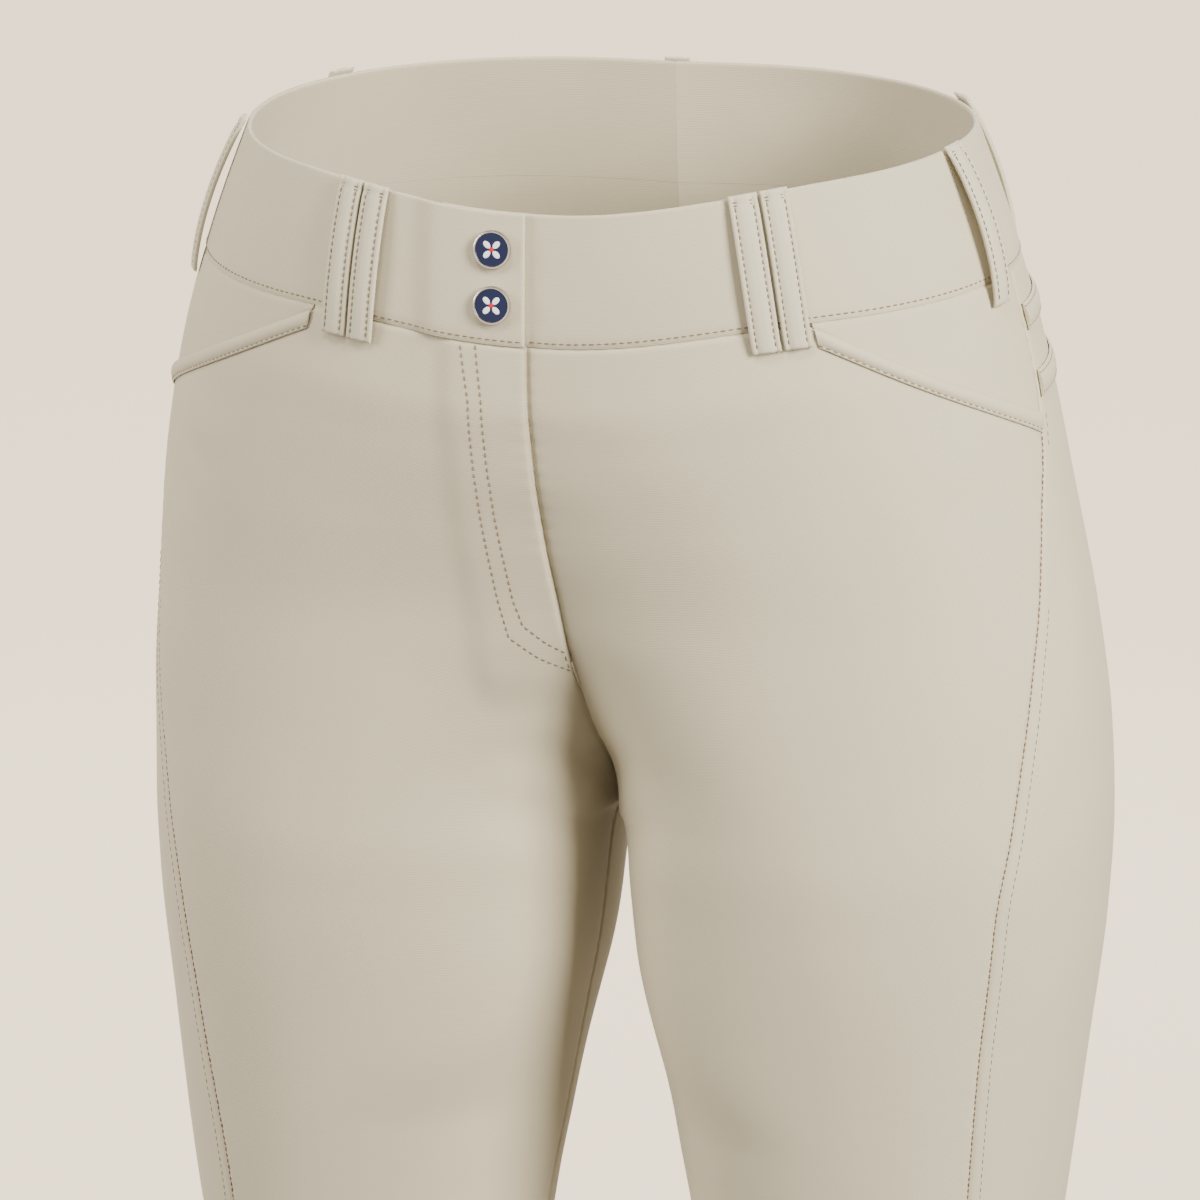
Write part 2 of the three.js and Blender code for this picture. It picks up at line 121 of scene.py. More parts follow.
INNER_LEG = [
    ("level", "x", "y"),
    (5, 0, 1),
    (-272, 0, 1),
    (-274, 2.2, 1),
    (-278, 4.2, 1),
    (-286, 6.2, 1),
    (-308, 8.8, 2),
    (-328, 11, 2),
    (-358, 16.6, 3),
    (-408, 25.6, 3),
    (-438, 31.4, 3),
    (-500, 40, 3),
    (-565, 44, 3),
    (-620, 45, 6),
    (-690, 45, 10),
    (-770, 52, 12),
    (-850, 60, 12),
    (-930, 60, 11),
]

SIDE_SEAM = [
    ("level", "left", "right"),
    (5, 1.97, 1.97),
    (-91, 1.955, 1.955),
    (-115, 1.92, 1.92),
    (-144, 1.84, 1.86),
    (-174, 1.76, 1.8),
    (-204, 1.68, 1.75),
    (-234, 1.61, 1.69),
    (-265, 1.55, 1.61),
    (-296, 1.5, 1.545),
    (-329, 1.48, 1.5),
    (-362, 1.467, 1.465),
    (-438, 1.46, 1.39),
    (-565, 1.5, 1.42),
    (-700, 1.58, 1.5),
    (-930, 1.7, 1.6),
]

SWAY = [
    ("level", "x"),
    (5, 0),
    (-53, 0),
    (-128, 2),
    (-198, 6.5),
    (-272, 9),
    (-338, 8.5),
    (-438, 7.5),
    (-930, 7.5),
]


def smooth_column(levels, values):
    """A smooth curve through one column of a table, which never overshoots between its rows."""
    depth = -np.array(levels, float)
    value = np.array(values, float)
    widths = np.diff(depth)
    steps = np.diff(value) / widths
    slopes = np.zeros(len(value))
    slopes[0] = steps[0]
    slopes[-1] = steps[-1]
    for i in range(1, len(value) - 1):
        before = steps[i - 1]
        after = steps[i]
        if before * after > 0:
            weight_before = 2 * widths[i] + widths[i - 1]
            weight_after = widths[i] + 2 * widths[i - 1]
            slopes[i] = (weight_before + weight_after) / (weight_before / before + weight_after / after)

    def curve(level):
        at = np.clip(-np.asarray(level, float), depth[0], depth[-1])
        i = np.clip(np.searchsorted(depth, at, side="right") - 1, 0, len(widths) - 1)
        t = (at - depth[i]) / widths[i]
        start = value[i] * (1 + 2 * t) * (1 - t) ** 2 + slopes[i] * widths[i] * t * (1 - t) ** 2
        end = value[i + 1] * (3 - 2 * t) * t ** 2 - slopes[i + 1] * widths[i] * (1 - t) * t ** 2
        return start + end

    return curve


def smooth_table(table):
    """A smooth curve down each column of a table, under the name in its first row."""
    levels, *columns = zip(*table[1:])
    return {name: smooth_column(levels, values) for name, values in zip(table[0][1:], columns)}


outline = smooth_table(OUTLINE)
centre_line = smooth_table(CENTRE_LINE)
inner_leg = smooth_table(INNER_LEG)
side_seam = smooth_table(SIDE_SEAM)
sway = smooth_table(SWAY)["x"]


def ease(start, end, value):
    t = np.clip((np.asarray(value, float) - start) / (end - start), 0, 1)
    return t * t * (3 - 2 * t)


def lerp(a, b, t):
    return a + (b - a) * t


def waist_rise(level, x, y):
    behind = ease(DIP_FULL_AT_Y, DIP_NONE_AT_Y, y)
    dip = FRONT_DIP * (1 - ease(0, DIP_HALF_WIDTH, np.abs(x - DIP_MIDDLE))) * (1 - behind)
    return (WAIST_SLOPE * y - dip) * ease(SLOPE_NONE_BELOW, SLOPE_FULL_ABOVE, level)


def centre_turn(level, centre_y, extreme_y):
    """How many quarters the centre line lies from the inner side of one half."""
    inner_y = inner_leg["y"](level)
    reach = np.clip((centre_y - inner_y) / (extreme_y - inner_y), 0, 1)
    return np.where(np.asarray(level) <= CROTCH_LEVEL, 0, np.arcsin(reach) / QUARTER)


def round_start(level):
    return centre_turn(level, centre_line["front_y"](level), outline["front_y"](level))


def round_end(level):
    return 4 - centre_turn(level, centre_line["back_y"](level), outline["back_y"](level))


def half_point(level, around):
    """Point of one half: 0 is the inner side, 1 the front, 2 the outer side, 3 the back and 4 inner again."""
    level, around = np.broadcast_arrays(np.asarray(level, float), np.asarray(around, float))
    side_x, side_y, front_x, front_y, back_x, back_y = [outline[name](level) for name in OUTLINE[0][1:]]
    inner_x = inner_leg["x"](level)
    inner_y = inner_leg["y"](level)
    cos = np.cos(around * QUARTER)
    sin = np.sin(around * QUARTER)
    arch = inner_x * np.abs(cos) ** (1 + ARCH_SHARPNESS * ease(ARCH_END, CROTCH_LEVEL, level))
    front_width = front_x / np.cos(round_start(level) * QUARTER)
    back_width = back_x / np.cos((4 - round_end(level)) * QUARTER)
    quarters = [around < 1, around < 2, around < 3]
    x = np.select(quarters, [
        front_x - front_width * cos + arch,
        front_x - (side_x - front_x) * cos,
        back_x - (side_x - back_x) * cos,
    ], back_x - back_width * cos + arch)
    y = np.select(quarters, [
        inner_y + (front_y - inner_y) * sin,
        side_y + (front_y - side_y) * sin,
        side_y - (back_y - side_y) * sin,
    ], inner_y - (back_y - inner_y) * sin)
    return x, y


def cloth_point(side, level, around):
    """Point of the outer face; past the centre line it carries on round the other half."""
    level, around = np.broadcast_arrays(np.asarray(level, float), np.asarray(around, float))
    start = round_start(level)
    end = round_end(level)
    above = level > CROTCH_LEVEL
    before = above & (around < start)
    after = above & (around > end)
    position = np.where(before, 2 * start - around, np.where(after, 2 * end - around, np.mod(around, 4)))
    half = np.where(before | after, -side, side)
    across, y = half_point(level, position)
    x = half * across + sway(level)
    return np.stack([x, y, level + waist_rise(level, x, y)], axis=-1)


# Small steps over which slopes are measured, rounds of a search by halving, and the least length divided by
ROUND_STEP = 0.01
LEVEL_STEP = 1.5
SEARCH_ROUNDS = 30
TINY = 1e-9


def round_tangent(side, level, around):
    ahead = cloth_point(side, level, around + ROUND_STEP)
    return (ahead - cloth_point(side, level, around - ROUND_STEP)) / (2 * ROUND_STEP)


def length_of(vectors):
    return np.linalg.norm(vectors, axis=-1)


def cloth_normal(side, level, around):
    down = cloth_point(side, level - LEVEL_STEP, around) - cloth_point(side, level + LEVEL_STEP, around)
    normal = np.cross(down, round_tangent(side, level, around)) * side
    return normal / np.maximum(length_of(normal), TINY)[..., None]


def over_cloth(side, level, around, height, crosses=False):
    """Point at a height over the outer face, kept on its own side of the centre line unless it crosses it."""
    level, around = np.broadcast_arrays(np.asarray(level, float), np.asarray(around, float))
    height = np.broadcast_to(np.asarray(height, float), level.shape)
    point = cloth_point(side, level, around) + cloth_normal(side, level, around) * height[..., None]
    kept = sway(level) + side * np.maximum(side * (point[..., 0] - sway(level)), SEAM_GAP / 2)
    point[..., 0] = np.where(crosses, point[..., 0], kept)
    return point


def round_beyond(side, level, around, distance):
    return around + distance / length_of(round_tangent(side, level, around))


def round_at_width(level, width):
    """Position round the half at a distance from the centre front, measured straight across."""
    level, width = np.broadcast_arrays(np.asarray(level, float), np.asarray(width, float))
    low = round_start(level) * np.ones(level.shape)
    high = np.full(level.shape, 2.0)
    for _ in range(SEARCH_ROUNDS):
        middle = (low + high) / 2
        short = half_point(level, middle)[0] < width
        low = np.where(short, middle, low)
        high = np.where(short, high, middle)
    return (low + high) / 2


# Meshes

def add_object(name, points, faces, material, uv=None, sharp=40):
    mesh = bpy.data.meshes.new(name)
    mesh.from_pydata([tuple(p) for p in np.asarray(points) * MM], [], faces)
    if uv is not None:
        layer = mesh.uv_layers.new(name="cloth_mm")
        corner_vertex = np.empty(len(mesh.loops), dtype=np.int32)
        mesh.loops.foreach_get("vertex_index", corner_vertex)
        layer.data.foreach_set("uv", uv[corner_vertex].astype(np.float32).ravel())
    mesh.materials.append(material)
    mesh.shade_smooth()
    mesh.set_sharp_from_angle(angle=math.radians(sharp))
    obj = bpy.data.objects.new(name, mesh)
    bpy.context.collection.objects.link(obj)
    return obj


def row_distance(points, from_end=False):
    """Distance along each row of a grid from its first or last point."""
    steps = length_of(np.diff(points, axis=1))
    total = np.zeros(points.shape[:2])
    total[:, 1:] = np.cumsum(steps, axis=1)
    return total[:, -1:] - total if from_end else total


def column_distance(points, from_end=False):
    return row_distance(points.swapaxes(0, 1), from_end).swapaxes(0, 1)


def quads(*corners):
    """Faces from four grids that hold their corners."""
    return np.stack(corners, axis=-1).reshape(-1, 4)


def ring_faces(rings, sides, first=0):
    """Faces that join rings of points into one skin."""
    faces = []
    for ring in range(rings - 1):
        low = first + ring * sides
        high = low + sides
        for k in range(sides):
            near = (k + 1) % sides
            faces.append((low + k, low + near, high + near, high + k))
    return faces


def wall(name, outer, inner, flip, material):
    """Closed wall of cloth between an outer and an inner grid of points, with a UV map in millimetres."""
    uv = np.stack([row_distance(outer), column_distance(outer)], axis=-1).reshape(-1, 2)
    points = np.concatenate([outer.reshape(-1, 3), inner.reshape(-1, 3)])
    index = np.arange(len(uv)).reshape(outer.shape[:2])
    below = index + len(uv)
    faces = np.concatenate([
        quads(index[:-1, :-1], index[1:, :-1], index[1:, 1:], index[:-1, 1:]),
        quads(below[:-1, :-1], below[:-1, 1:], below[1:, 1:], below[1:, :-1]),
        quads(index[:-1, 0], below[:-1, 0], below[1:, 0], index[1:, 0]),
        quads(index[:-1, -1], index[1:, -1], below[1:, -1], below[:-1, -1]),
        quads(index[0, :-1], index[0, 1:], below[0, 1:], below[0, :-1]),
        quads(index[-1, :-1], below[-1, :-1], below[-1, 1:], index[-1, 1:]),
    ])
    if flip:
        faces = faces[:, ::-1]
    return add_object(name, points, faces.tolist(), material, np.concatenate([uv, uv]))


NEAR_EDGE = (0.0, 0.25, 0.6, 1.1, 1.8, 3.0)
ALMOST_WHOLE = 0.99


def edge_spread(middle_step, length, near=NEAR_EDGE):
    """Distances along a length, close together near both ends."""
    near = np.array(near)
    count = max(2, int(round((length - 2 * near[-1]) / middle_step)))
    middle = np.linspace(near[-1], length - near[-1], count + 1)
    return np.concatenate([near[:-1], middle, (length - near[:-1])[::-1]])


def start_spread(middle_step, length):
    """Shares of a length, close together near its start and short of its end."""
    share = edge_spread(middle_step, 2 * length) / length
    return share[share < ALMOST_WHOLE]


def seam_turn(distance, depth=0.75, reach=1.1):
    """How far the cloth turns in beside a seam."""
    return depth * np.exp(-(distance / reach) ** 2)


FOLD_FLAT = 0.1


def fold_turn(distance, radius):
    """How far the face of a folded edge turns in towards the middle of the cloth."""
    inward = np.clip(radius - distance, 0, radius)
    return radius - np.sqrt(np.maximum(radius ** 2 - inward ** 2, (FOLD_FLAT * radius) ** 2))


# How a crease bows, how its ends fade, and the low ridge beside its trough
CREASE_BOW = 0.05
CREASE_FADE = 1.3
RIDGE_AWAY = 1.9
RIDGE_HEIGHT = 0.5

# Soft creases: (side, level and round of both ends, half width, depth)
CREASES = [
    (-1, -112, 1.78, -131, 1.42, 8, 0.9),
    (-1, -126, 1.80, -150, 1.52, 10, 0.7),
    (1, -120, 1.80, -137, 1.50, 9, 0.5),
    (-1, -262, 0.10, -236, 0.62, 8, 0.9),
    (-1, -284, 0.12, -262, 0.72, 10, 0.7),
    (1, -264, 0.10, -240, 0.58, 8, 0.8),
    (1, -288, 0.14, -268, 0.66, 10, 0.6),
    (-1, -246, 3.80, -222, 3.30, 9, 1.0),
    (-1, -286, 3.70, -292, 2.80, 9, 1.4),
    (-1, -306, 3.80, -318, 3.05, 8, 0.9),
    (1, -250, 3.82, -228, 3.36, 9, 1.0),
    (1, -290, 3.72, -298, 2.86, 9, 1.3),
    (1, -312, 3.80, -322, 3.12, 8, 0.8),
    (-1, -566, 3.60, -588, 2.60, 8, 1.4),
    (-1, -596, 3.70, -604, 2.75, 7, 1.7),
    (-1, -622, 3.55, -614, 2.55, 8, 1.5),
    (-1, -646, 3.60, -634, 2.80, 9, 1.0),
    (1, -570, 3.55, -586, 2.62, 8, 1.5),
    (1, -600, 3.70, -606, 2.70, 7, 1.6),
    (1, -628, 3.58, -618, 2.58, 8, 1.4),
    (1, -650, 3.62, -640, 2.84, 9, 0.9),
    (-1, -812, 1.62, -822, 0.62, 8, 0.8),
    (-1, -856, 1.70, -849, 0.55, 7, 1.2),
    (-1, -882, 3.40, -874, 2.30, 7, 1.1),
    (-1, -893, 1.60, -902, 0.50, 6, 1.1),
    (1, -816, 1.60, -824, 0.66, 8, 0.8),
    (1, -860, 1.66, -852, 0.58, 7, 1.1),
    (1, -886, 3.42, -876, 2.34, 7, 1.2),
    (1, -897, 1.58, -905, 0.52, 6, 1.0),
]


def crease_relief(side, level, around):
    """Height of the soft creases of one half, which fade out towards both ends."""
    relief = np.zeros(np.shape(level))
    for crease_side, level_a, round_a, level_b, round_b, half_width, depth in CREASES:
        if crease_side != side:
            continue
        middle_level = (level_a + level_b) / 2
        per_round = length_of(round_tangent(side, middle_level, (round_a + round_b) / 2))
        run_u = (round_b - round_a) * per_round
        run_v = level_b - level_a
        run = math.hypot(run_u, run_v)
        u = (around - round_a) * per_round
        v = level - level_a
        along = (u * run_u + v * run_v) / run
        swing = np.sin(math.pi * np.clip(along / run, 0, 1))
        off = (u * run_v - v * run_u) / run + CREASE_BOW * run * swing
        trough = np.exp(-(off / half_width) ** 2)
        ridge = np.exp(-((off - RIDGE_AWAY * half_width) / half_width) ** 2)
        relief += depth * swing ** CREASE_FADE * (RIDGE_HEIGHT * ridge - trough)
    return relief


GATHER_WANDER = 1.7
WANDER_LENGTH = 31.0


def pucker(distance, along, reach=5.0, height=0.14, pitch=7.0):
    """Slight gathers in the cloth beside a stitched seam, at a pitch that wanders."""
    waves = np.sin(along * 2 * math.pi / pitch + GATHER_WANDER * np.sin(along / WANDER_LENGTH))
    return height * waves * np.exp(-(distance / reach) ** 2)


# Materials

def new_material(name):
    material = bpy.data.materials.new(name)
    material.use_nodes = True
    return material, material.node_tree, material.node_tree.nodes["Principled BSDF"]


def set_inputs(tree, node, inputs):
    """Sets inputs of a node to values, or links them to the outputs of others."""
    for name, value in inputs.items():
        if isinstance(value, bpy.types.NodeSocket):
            tree.links.new(value, node.inputs[name])
        else:
            node.inputs[name].default_value = value


def add_node(tree, kind, inputs, operation=None):
    node = tree.nodes.new(f"ShaderNode{kind}")
    if operation:
        node.operation = operation
    set_inputs(tree, node, inputs)
    return node


def add_range(tree, value, lowest, highest, to_lowest, to_highest):
    """Output of a node that maps one range of values to another."""
    node = add_node(tree, "MapRange", {"Value": value, "From Min": lowest, "From Max": highest,
                                       "To Min": to_lowest, "To Max": to_highest})
    return node.outputs["Result"]


GRAIN_SHARE = 0.45


def cloth_material(name, colour, turn=0.0):
    """Matt stretch twill: fine ribs across the cloth, a little grain and a slow change of shade."""
    material, tree, shader = new_material(name)
    uv_map = add_node(tree, "UVMap", {})
    uv_map.uv_map = "cloth_mm"
    uv = uv_map.outputs["UV"]
    turned = add_node(tree, "Mapping", {"Vector": uv, "Rotation": (0, 0, turn)})
    ribs = add_node(tree, "TexWave", {"Vector": turned.outputs["Vector"], "Scale": 0.42, "Distortion": 0.6,
                                      "Detail": 1.0, "Detail Scale": 0.6})
    ribs.bands_direction = "Y"
    grain = add_node(tree, "TexNoise", {"Vector": uv, "Scale": 1.3, "Detail": 3.0})
    slow = add_node(tree, "TexNoise", {"Vector": uv, "Scale": 0.02, "Detail": 2.0})
    parts = {0: grain.outputs["Fac"], 1: GRAIN_SHARE, 2: ribs.outputs["Fac"]}
    surface = add_node(tree, "Math", parts, "MULTIPLY_ADD").outputs[0]
    bump = add_node(tree, "Bump", {"Height": surface, "Strength": 0.32, "Distance": 0.00009})
    shade = add_range(tree, surface, 0.0, 1 + GRAIN_SHARE, 0.93, 1.05)
    drift = add_range(tree, slow.outputs["Fac"], 0.3, 0.7, 0.98, 1.02)
    both = add_node(tree, "Math", {0: shade, 1: drift}, "MULTIPLY")
    tint = add_node(tree, "VectorMath", {0: colour, "Scale": both.outputs[0]}, "SCALE")
    set_inputs(tree, shader, {"Base Color": tint.outputs["Vector"], "Normal": bump.outputs["Normal"],
                              "Roughness": 0.78, "Sheen Weight": 0.18, "Sheen Roughness": 0.45})
    return material


def plain_material(name, colour, roughness, metallic=0.0, grain=0.03, specular=0.5):
    """One colour with a fine grain in its roughness."""
    material, tree, shader = new_material(name)
    noise = add_node(tree, "TexNoise", {"Scale": 900.0})
    uneven = add_range(tree, noise.outputs["Fac"], 0.0, 1.0, roughness - grain, roughness + grain)
    set_inputs(tree, shader, {"Base Color": (*colour, 1), "Roughness": uneven, "Metallic": metallic,
                              "Specular IOR Level": specular})
    return material


cloth = cloth_material("breeches_cloth", (0.50, 0.44, 0.30))
strap_cloth = cloth_material("strap_cloth", (0.52, 0.465, 0.33), QUARTER)
# Stitch thread: a brown-beige thread whose colour is painted dark brown, standing for the shade in its stitch
# holes
thread = plain_material("thread", (0.17, 0.12, 0.075), 0.75)
# Side-seam thread: a dark line sunk into the seam, whose colour is painted shade for the seam's groove
seam_thread = plain_material("seam_thread", (0.2, 0.118, 0.07), 0.75)
metal = plain_material("snap_metal", (0.42, 0.42, 0.43), 0.25, 1.0)
navy = plain_material("navy_enamel", (0.008, 0.013, 0.045), 0.24, specular=0.22)
white = plain_material("white_enamel", (0.85, 0.85, 0.86), 0.24, specular=0.22)
red = plain_material("red_enamel", (0.55, 0.015, 0.025), 0.24, specular=0.22)


def keep(obj, *nodes, slot="breeches_cloth"):
    """Puts a finished piece on the part's body, in place of the nodes named."""
    if nodes:
        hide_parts(*nodes)
    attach(obj, "root")
    return obj


# Stitches

STITCH_LENGTH = 2.1
STITCH_GAP = 0.9
STITCH_RADIUS = 0.3
STITCH_RINGS = ((0.0, 0.25), (0.16, 0.85), (0.5, 1.0), (0.84, 0.85), (1.0, 0.25))
STITCH_SIDES = 6
STITCH_POINTS = len(STITCH_RINGS) * STITCH_SIDES
STITCH_ARCH = 0.6
STITCH_SUNK = 0.35
LINE_DETAIL = 40


def points_at(where, known, points):
    return np.stack([np.interp(where, known, column) for column in points.T], axis=-1)


def along_line(points, pitch):
    """Pairs of points one stitch apart along a line of points."""
    steps = length_of(np.diff(points, axis=0))
    total = np.concatenate([[0], np.cumsum(steps)])
    count = max(1, int(total[-1] // pitch))
    spacing = total[-1] / count
    starts = np.arange(count) * spacing
    ends = starts + spacing * STITCH_LENGTH / (STITCH_LENGTH + STITCH_GAP)
    return points_at(starts, total, points), points_at(ends, total, points)


def stitch_points(starts, ends, normals, radius):
    along = ends - starts
    axis = along / np.maximum(length_of(along), TINY)[:, None]
    sideways = np.cross(normals, axis)
    sideways /= np.maximum(length_of(sideways), TINY)[:, None]
    up = np.cross(axis, sideways)
    rings = []
    for share, width in STITCH_RINGS:
        lift = radius * (STITCH_ARCH * math.sin(math.pi * share) - STITCH_SUNK)
        centre = starts + along * share + up * lift
        for k in range(STITCH_SIDES):
            angle = 2 * math.pi * k / STITCH_SIDES
            rings.append(centre + (sideways * math.cos(angle) + up * math.sin(angle)) * radius * width)
    return np.stack(rings, axis=1)


def stitch_faces(count):
    one = ring_faces(len(STITCH_RINGS), STITCH_SIDES)
    one.append(tuple(range(STITCH_SIDES))[::-1])
    one.append(tuple(range(STITCH_POINTS - STITCH_SIDES, STITCH_POINTS)))
    return [tuple(v + i * STITCH_POINTS for v in face) for i in range(count) for face in one]


def stitch_rows(name, rows, radius=STITCH_RADIUS, pitch=STITCH_LENGTH + STITCH_GAP, material=thread):
    """One piece holding rows of stitches; each row is (side, levels, rounds, heights)."""
    parts = []
    for side, *row in rows:
        row = np.broadcast_arrays(*[np.asarray(values, float) for values in row])
        at = np.linspace(0, 1, len(row[0]))
        dense = np.linspace(0, 1, LINE_DETAIL * (len(at) - 1) + 1)
        level, around, height = [np.interp(dense, at, values) for values in row]
        line = over_cloth(side, level, around, height, crosses=True)
        lifted = over_cloth(side, level, around, height + 1, crosses=True)
        starts, ends = along_line(line, pitch)
        normals = points_at(np.linspace(0, 1, len(starts)), dense, lifted - line)
        parts.append(stitch_points(starts, ends, normals, radius).reshape(-1, 3))
    points = np.concatenate(parts)
    return keep(add_object(name, points, stitch_faces(len(points) // STITCH_POINTS), material))


SIDES = ((1, "left"), (-1, "right"))

# Spacing of the points of a panel
FINE_STEP = 2.4
ACROSS_STEP = 2.6
DOWN_STEP = 3.0
CENTRE_TO_POCKET = 100.0
POCKET_TO_SEAM = 90.0
BACK_WIDTH = 215.0

# Slant pockets
POCKET_BOTTOM = -105.0
POCKET_BOW = 0.1
POCKET_START = {"left": 1.388, "right": 1.293}
POCKET_TIP = 0.03
POCKET_END = 0.985
POCKET_JOIN_LEVEL = -149.0
FACING_WIDTH = 78.0
FACING_DEPTH = 48.0
FACING_SINK = 0.15
SINK_FROM = 0.6
WELT_WIDTH = 7.5

# How the right front comes down to the centre below the fly, and how far past an edge a lift is kept
FLY_LIFT_NONE = FLY_BOTTOM - 22
FLY_LIFT_FULL = FLY_BOTTOM - 2
PAST_EDGE = 1


def pocket_level(across):
    return lerp(PANEL_TOP, POCKET_BOTTOM, across + POCKET_BOW * np.sin(math.pi * across))


def seam_round(side, label, level, set_back):
    return round_beyond(side, level, side_seam[label](level), set_back)


def fly_lift(side, level, around):
    """How far the right front stands out over the fly shield."""
    if side > 0:
        return np.zeros(np.shape(level))
    width = half_point(level, around)[0]
    past = FLY_SHIELD_WIDTH + PAST_EDGE
    over_shield = 1 - ease(past, past + LIFT_RUN, width)
    return (LEG_CLOTH + ON_TOP_GAP) * over_shield * ease(FLY_LIFT_NONE, FLY_LIFT_FULL, level)


def pocket_split(label, level, seam, down):
    halfway = lerp(round_start(level), seam, 0.5)
    return lerp(POCKET_START[label], halfway, ease(0, 1, down))


def front_panel(side, label):
    """A front leg panel, from the waistband and the pocket's opening to the ankle."""
    from_pocket = start_spread(FINE_STEP, PANEL_TOP - POCKET_JOIN_LEVEL)
    below = POCKET_JOIN_LEVEL - edge_spread(DOWN_STEP, POCKET_JOIN_LEVEL - HEM_LEVEL)[len(NEAR_EDGE):]
    down = np.concatenate([from_pocket, np.ones(1 + len(below))])[:, None]
    plain_level = np.concatenate([np.zeros(len(from_pocket)), [POCKET_JOIN_LEVEL], below])[:, None]
    from_centre = start_spread(FINE_STEP, CENTRE_TO_POCKET)
    from_seam = start_spread(FINE_STEP, POCKET_TO_SEAM)
    to_pocket = np.concatenate([from_centre, np.ones(1 + len(from_seam))])[None, :]
    across = np.concatenate([np.zeros(1 + len(from_centre)), 1 - from_seam[::-1]])[None, :]
    level = np.where(down < 1, lerp(pocket_level(across), POCKET_JOIN_LEVEL, down), plain_level)
    seam = seam_round(side, label, level, -SEAM_GAP / 2)
    start = round_beyond(side, level, round_start(level), SEAM_GAP / 2)
    split = pocket_split(label, level, seam, down)
    around = np.where(to_pocket < 1, lerp(start, split, to_pocket), lerp(split, seam, across))
    return level, around


def spread_levels(top, bottom, step):
    return top - edge_spread(step, top - bottom)


TURN_LIMIT = 0.9
HEM_RADIUS = 0.7
HEM_TURN_INSIDE = 0.4
LAST_SEAM_SHIFT = 3
LAST_SEAM_PITCH = 8.5


def finish_panel(name, side, level, around, lift):
    """Wall of a leg panel, turned in along its seams, with its creases and a plain hem."""
    base = over_cloth(side, level, around, 0)
    first = row_distance(base)
    last = row_distance(base, from_end=True)
    top = column_distance(base)
    hem_turn = fold_turn(column_distance(base, from_end=True), HEM_RADIUS)
    turned = np.minimum(seam_turn(first) + seam_turn(last) + seam_turn(top), TURN_LIMIT) + hem_turn
    gathers = pucker(first, top) + pucker(last, top + LAST_SEAM_SHIFT, pitch=LAST_SEAM_PITCH)
    creases = crease_relief(side, level, around)
    outer = over_cloth(side, level, around, lift - turned + gathers + creases)
    inner = over_cloth(side, level, around, lift - LEG_CLOTH + creases + HEM_TURN_INSIDE * hem_turn)
    return wall(name, outer, inner, side < 0, cloth)


def back_panel(side, label):
    level = spread_levels(PANEL_TOP, HEM_LEVEL, DOWN_STEP)[:, None]
    share = edge_spread(ACROSS_STEP, BACK_WIDTH)[None, :] / BACK_WIDTH
    level, share = np.broadcast_arrays(level, share)
    seam = seam_round(side, label, level, SIDE_SEAM_GAP - SEAM_GAP / 2)
    end = round_beyond(side, level, round_end(level), -SEAM_GAP / 2)
    return level, lerp(seam, end, share)


def pocket_facing(side, label):
    """Cloth that shows between the waistband and the edge of a pocket."""
    share = edge_spread(FINE_STEP, FACING_WIDTH)[None, :] / FACING_WIDTH
    down = edge_spread(FINE_STEP, FACING_DEPTH)[:, None] / FACING_DEPTH
    across = lerp(POCKET_TIP, 1, share)
    level = lerp(PANEL_TOP, pocket_level(across) + SEAM_GAP, down)
    seam = seam_round(side, label, level, -SEAM_GAP / 2)
    around = lerp(POCKET_START[label], seam, across)
    base = over_cloth(side, level, around, 0)
    turned = seam_turn(row_distance(base, from_end=True)) + seam_turn(column_distance(base))
    sink = FACING_SINK * ease(SINK_FROM, 1, down)
    outer = over_cloth(side, level, around, -np.minimum(turned, TURN_LIMIT) - sink)
    inner = over_cloth(side, level, around, -LEG_CLOTH)
    return wall(f"cloth_pocket_facing_{label}", outer, inner, side < 0, cloth)


# Profiles across a strip: (share of its width, height over the cloth)
STRIP_SHAPE = ((0.0, 0.15), (0.04, 0.55), (0.1, 0.72), (0.17, 0.62), (0.26, 1.1), (0.4, 1.55), (0.55, 1.75),
               (0.7, 1.7), (0.82, 1.45), (0.91, 1.05), (0.97, 0.55), (1.0, 0.15))
TWO_ROW_SHAPE = ((0.0, 0.15), (0.04, 0.6), (0.09, 0.85), (0.14, 0.7), (0.22, 1.0), (0.36, 1.35), (0.5, 1.45),
                 (0.64, 1.35), (0.78, 1.0), (0.86, 0.7), (0.91, 0.85), (0.96, 0.6), (1.0, 0.15))
WELT_STEPS = 60
WELT_TAPER = 0.03
WELT_END_HEIGHT = 0.55


def pocket_welt(side, label):
    """Rolled edge of the pocket: a soft tube with a flat stitched lip below."""
    width_share, top = np.array(STRIP_SHAPE).T[:, None, :]
    across = lerp(POCKET_TIP, POCKET_END, np.linspace(0, 1, WELT_STEPS + 1))[:, None]
    level = pocket_level(across) - WELT_WIDTH * (1 - width_share)
    around = lerp(POCKET_START[label], seam_round(side, label, level, 0), across)
    ends = np.minimum(np.linspace(0, 1, WELT_STEPS + 1), np.linspace(1, 0, WELT_STEPS + 1))[:, None]
    taper = ease(0, WELT_TAPER, ends)
    outer = over_cloth(side, level, around, ON_TOP_GAP + top * lerp(WELT_END_HEIGHT, 1, taper))
    inner = over_cloth(side, level, around, ON_TOP_GAP)
    return wall(f"cloth_pocket_welt_{label}", outer, inner, side < 0, cloth)


# Stitched strips of the back: (name, level of the middle, share of the way to the back centre)
BACK_STRIPS = (("yoke_strip", -69.5, 1.0), ("back_welt", -94.5, 0.72))
STRIP_WIDTH = 10.0
STRIP_STEPS = 90
STRIP_END_GAP = 1


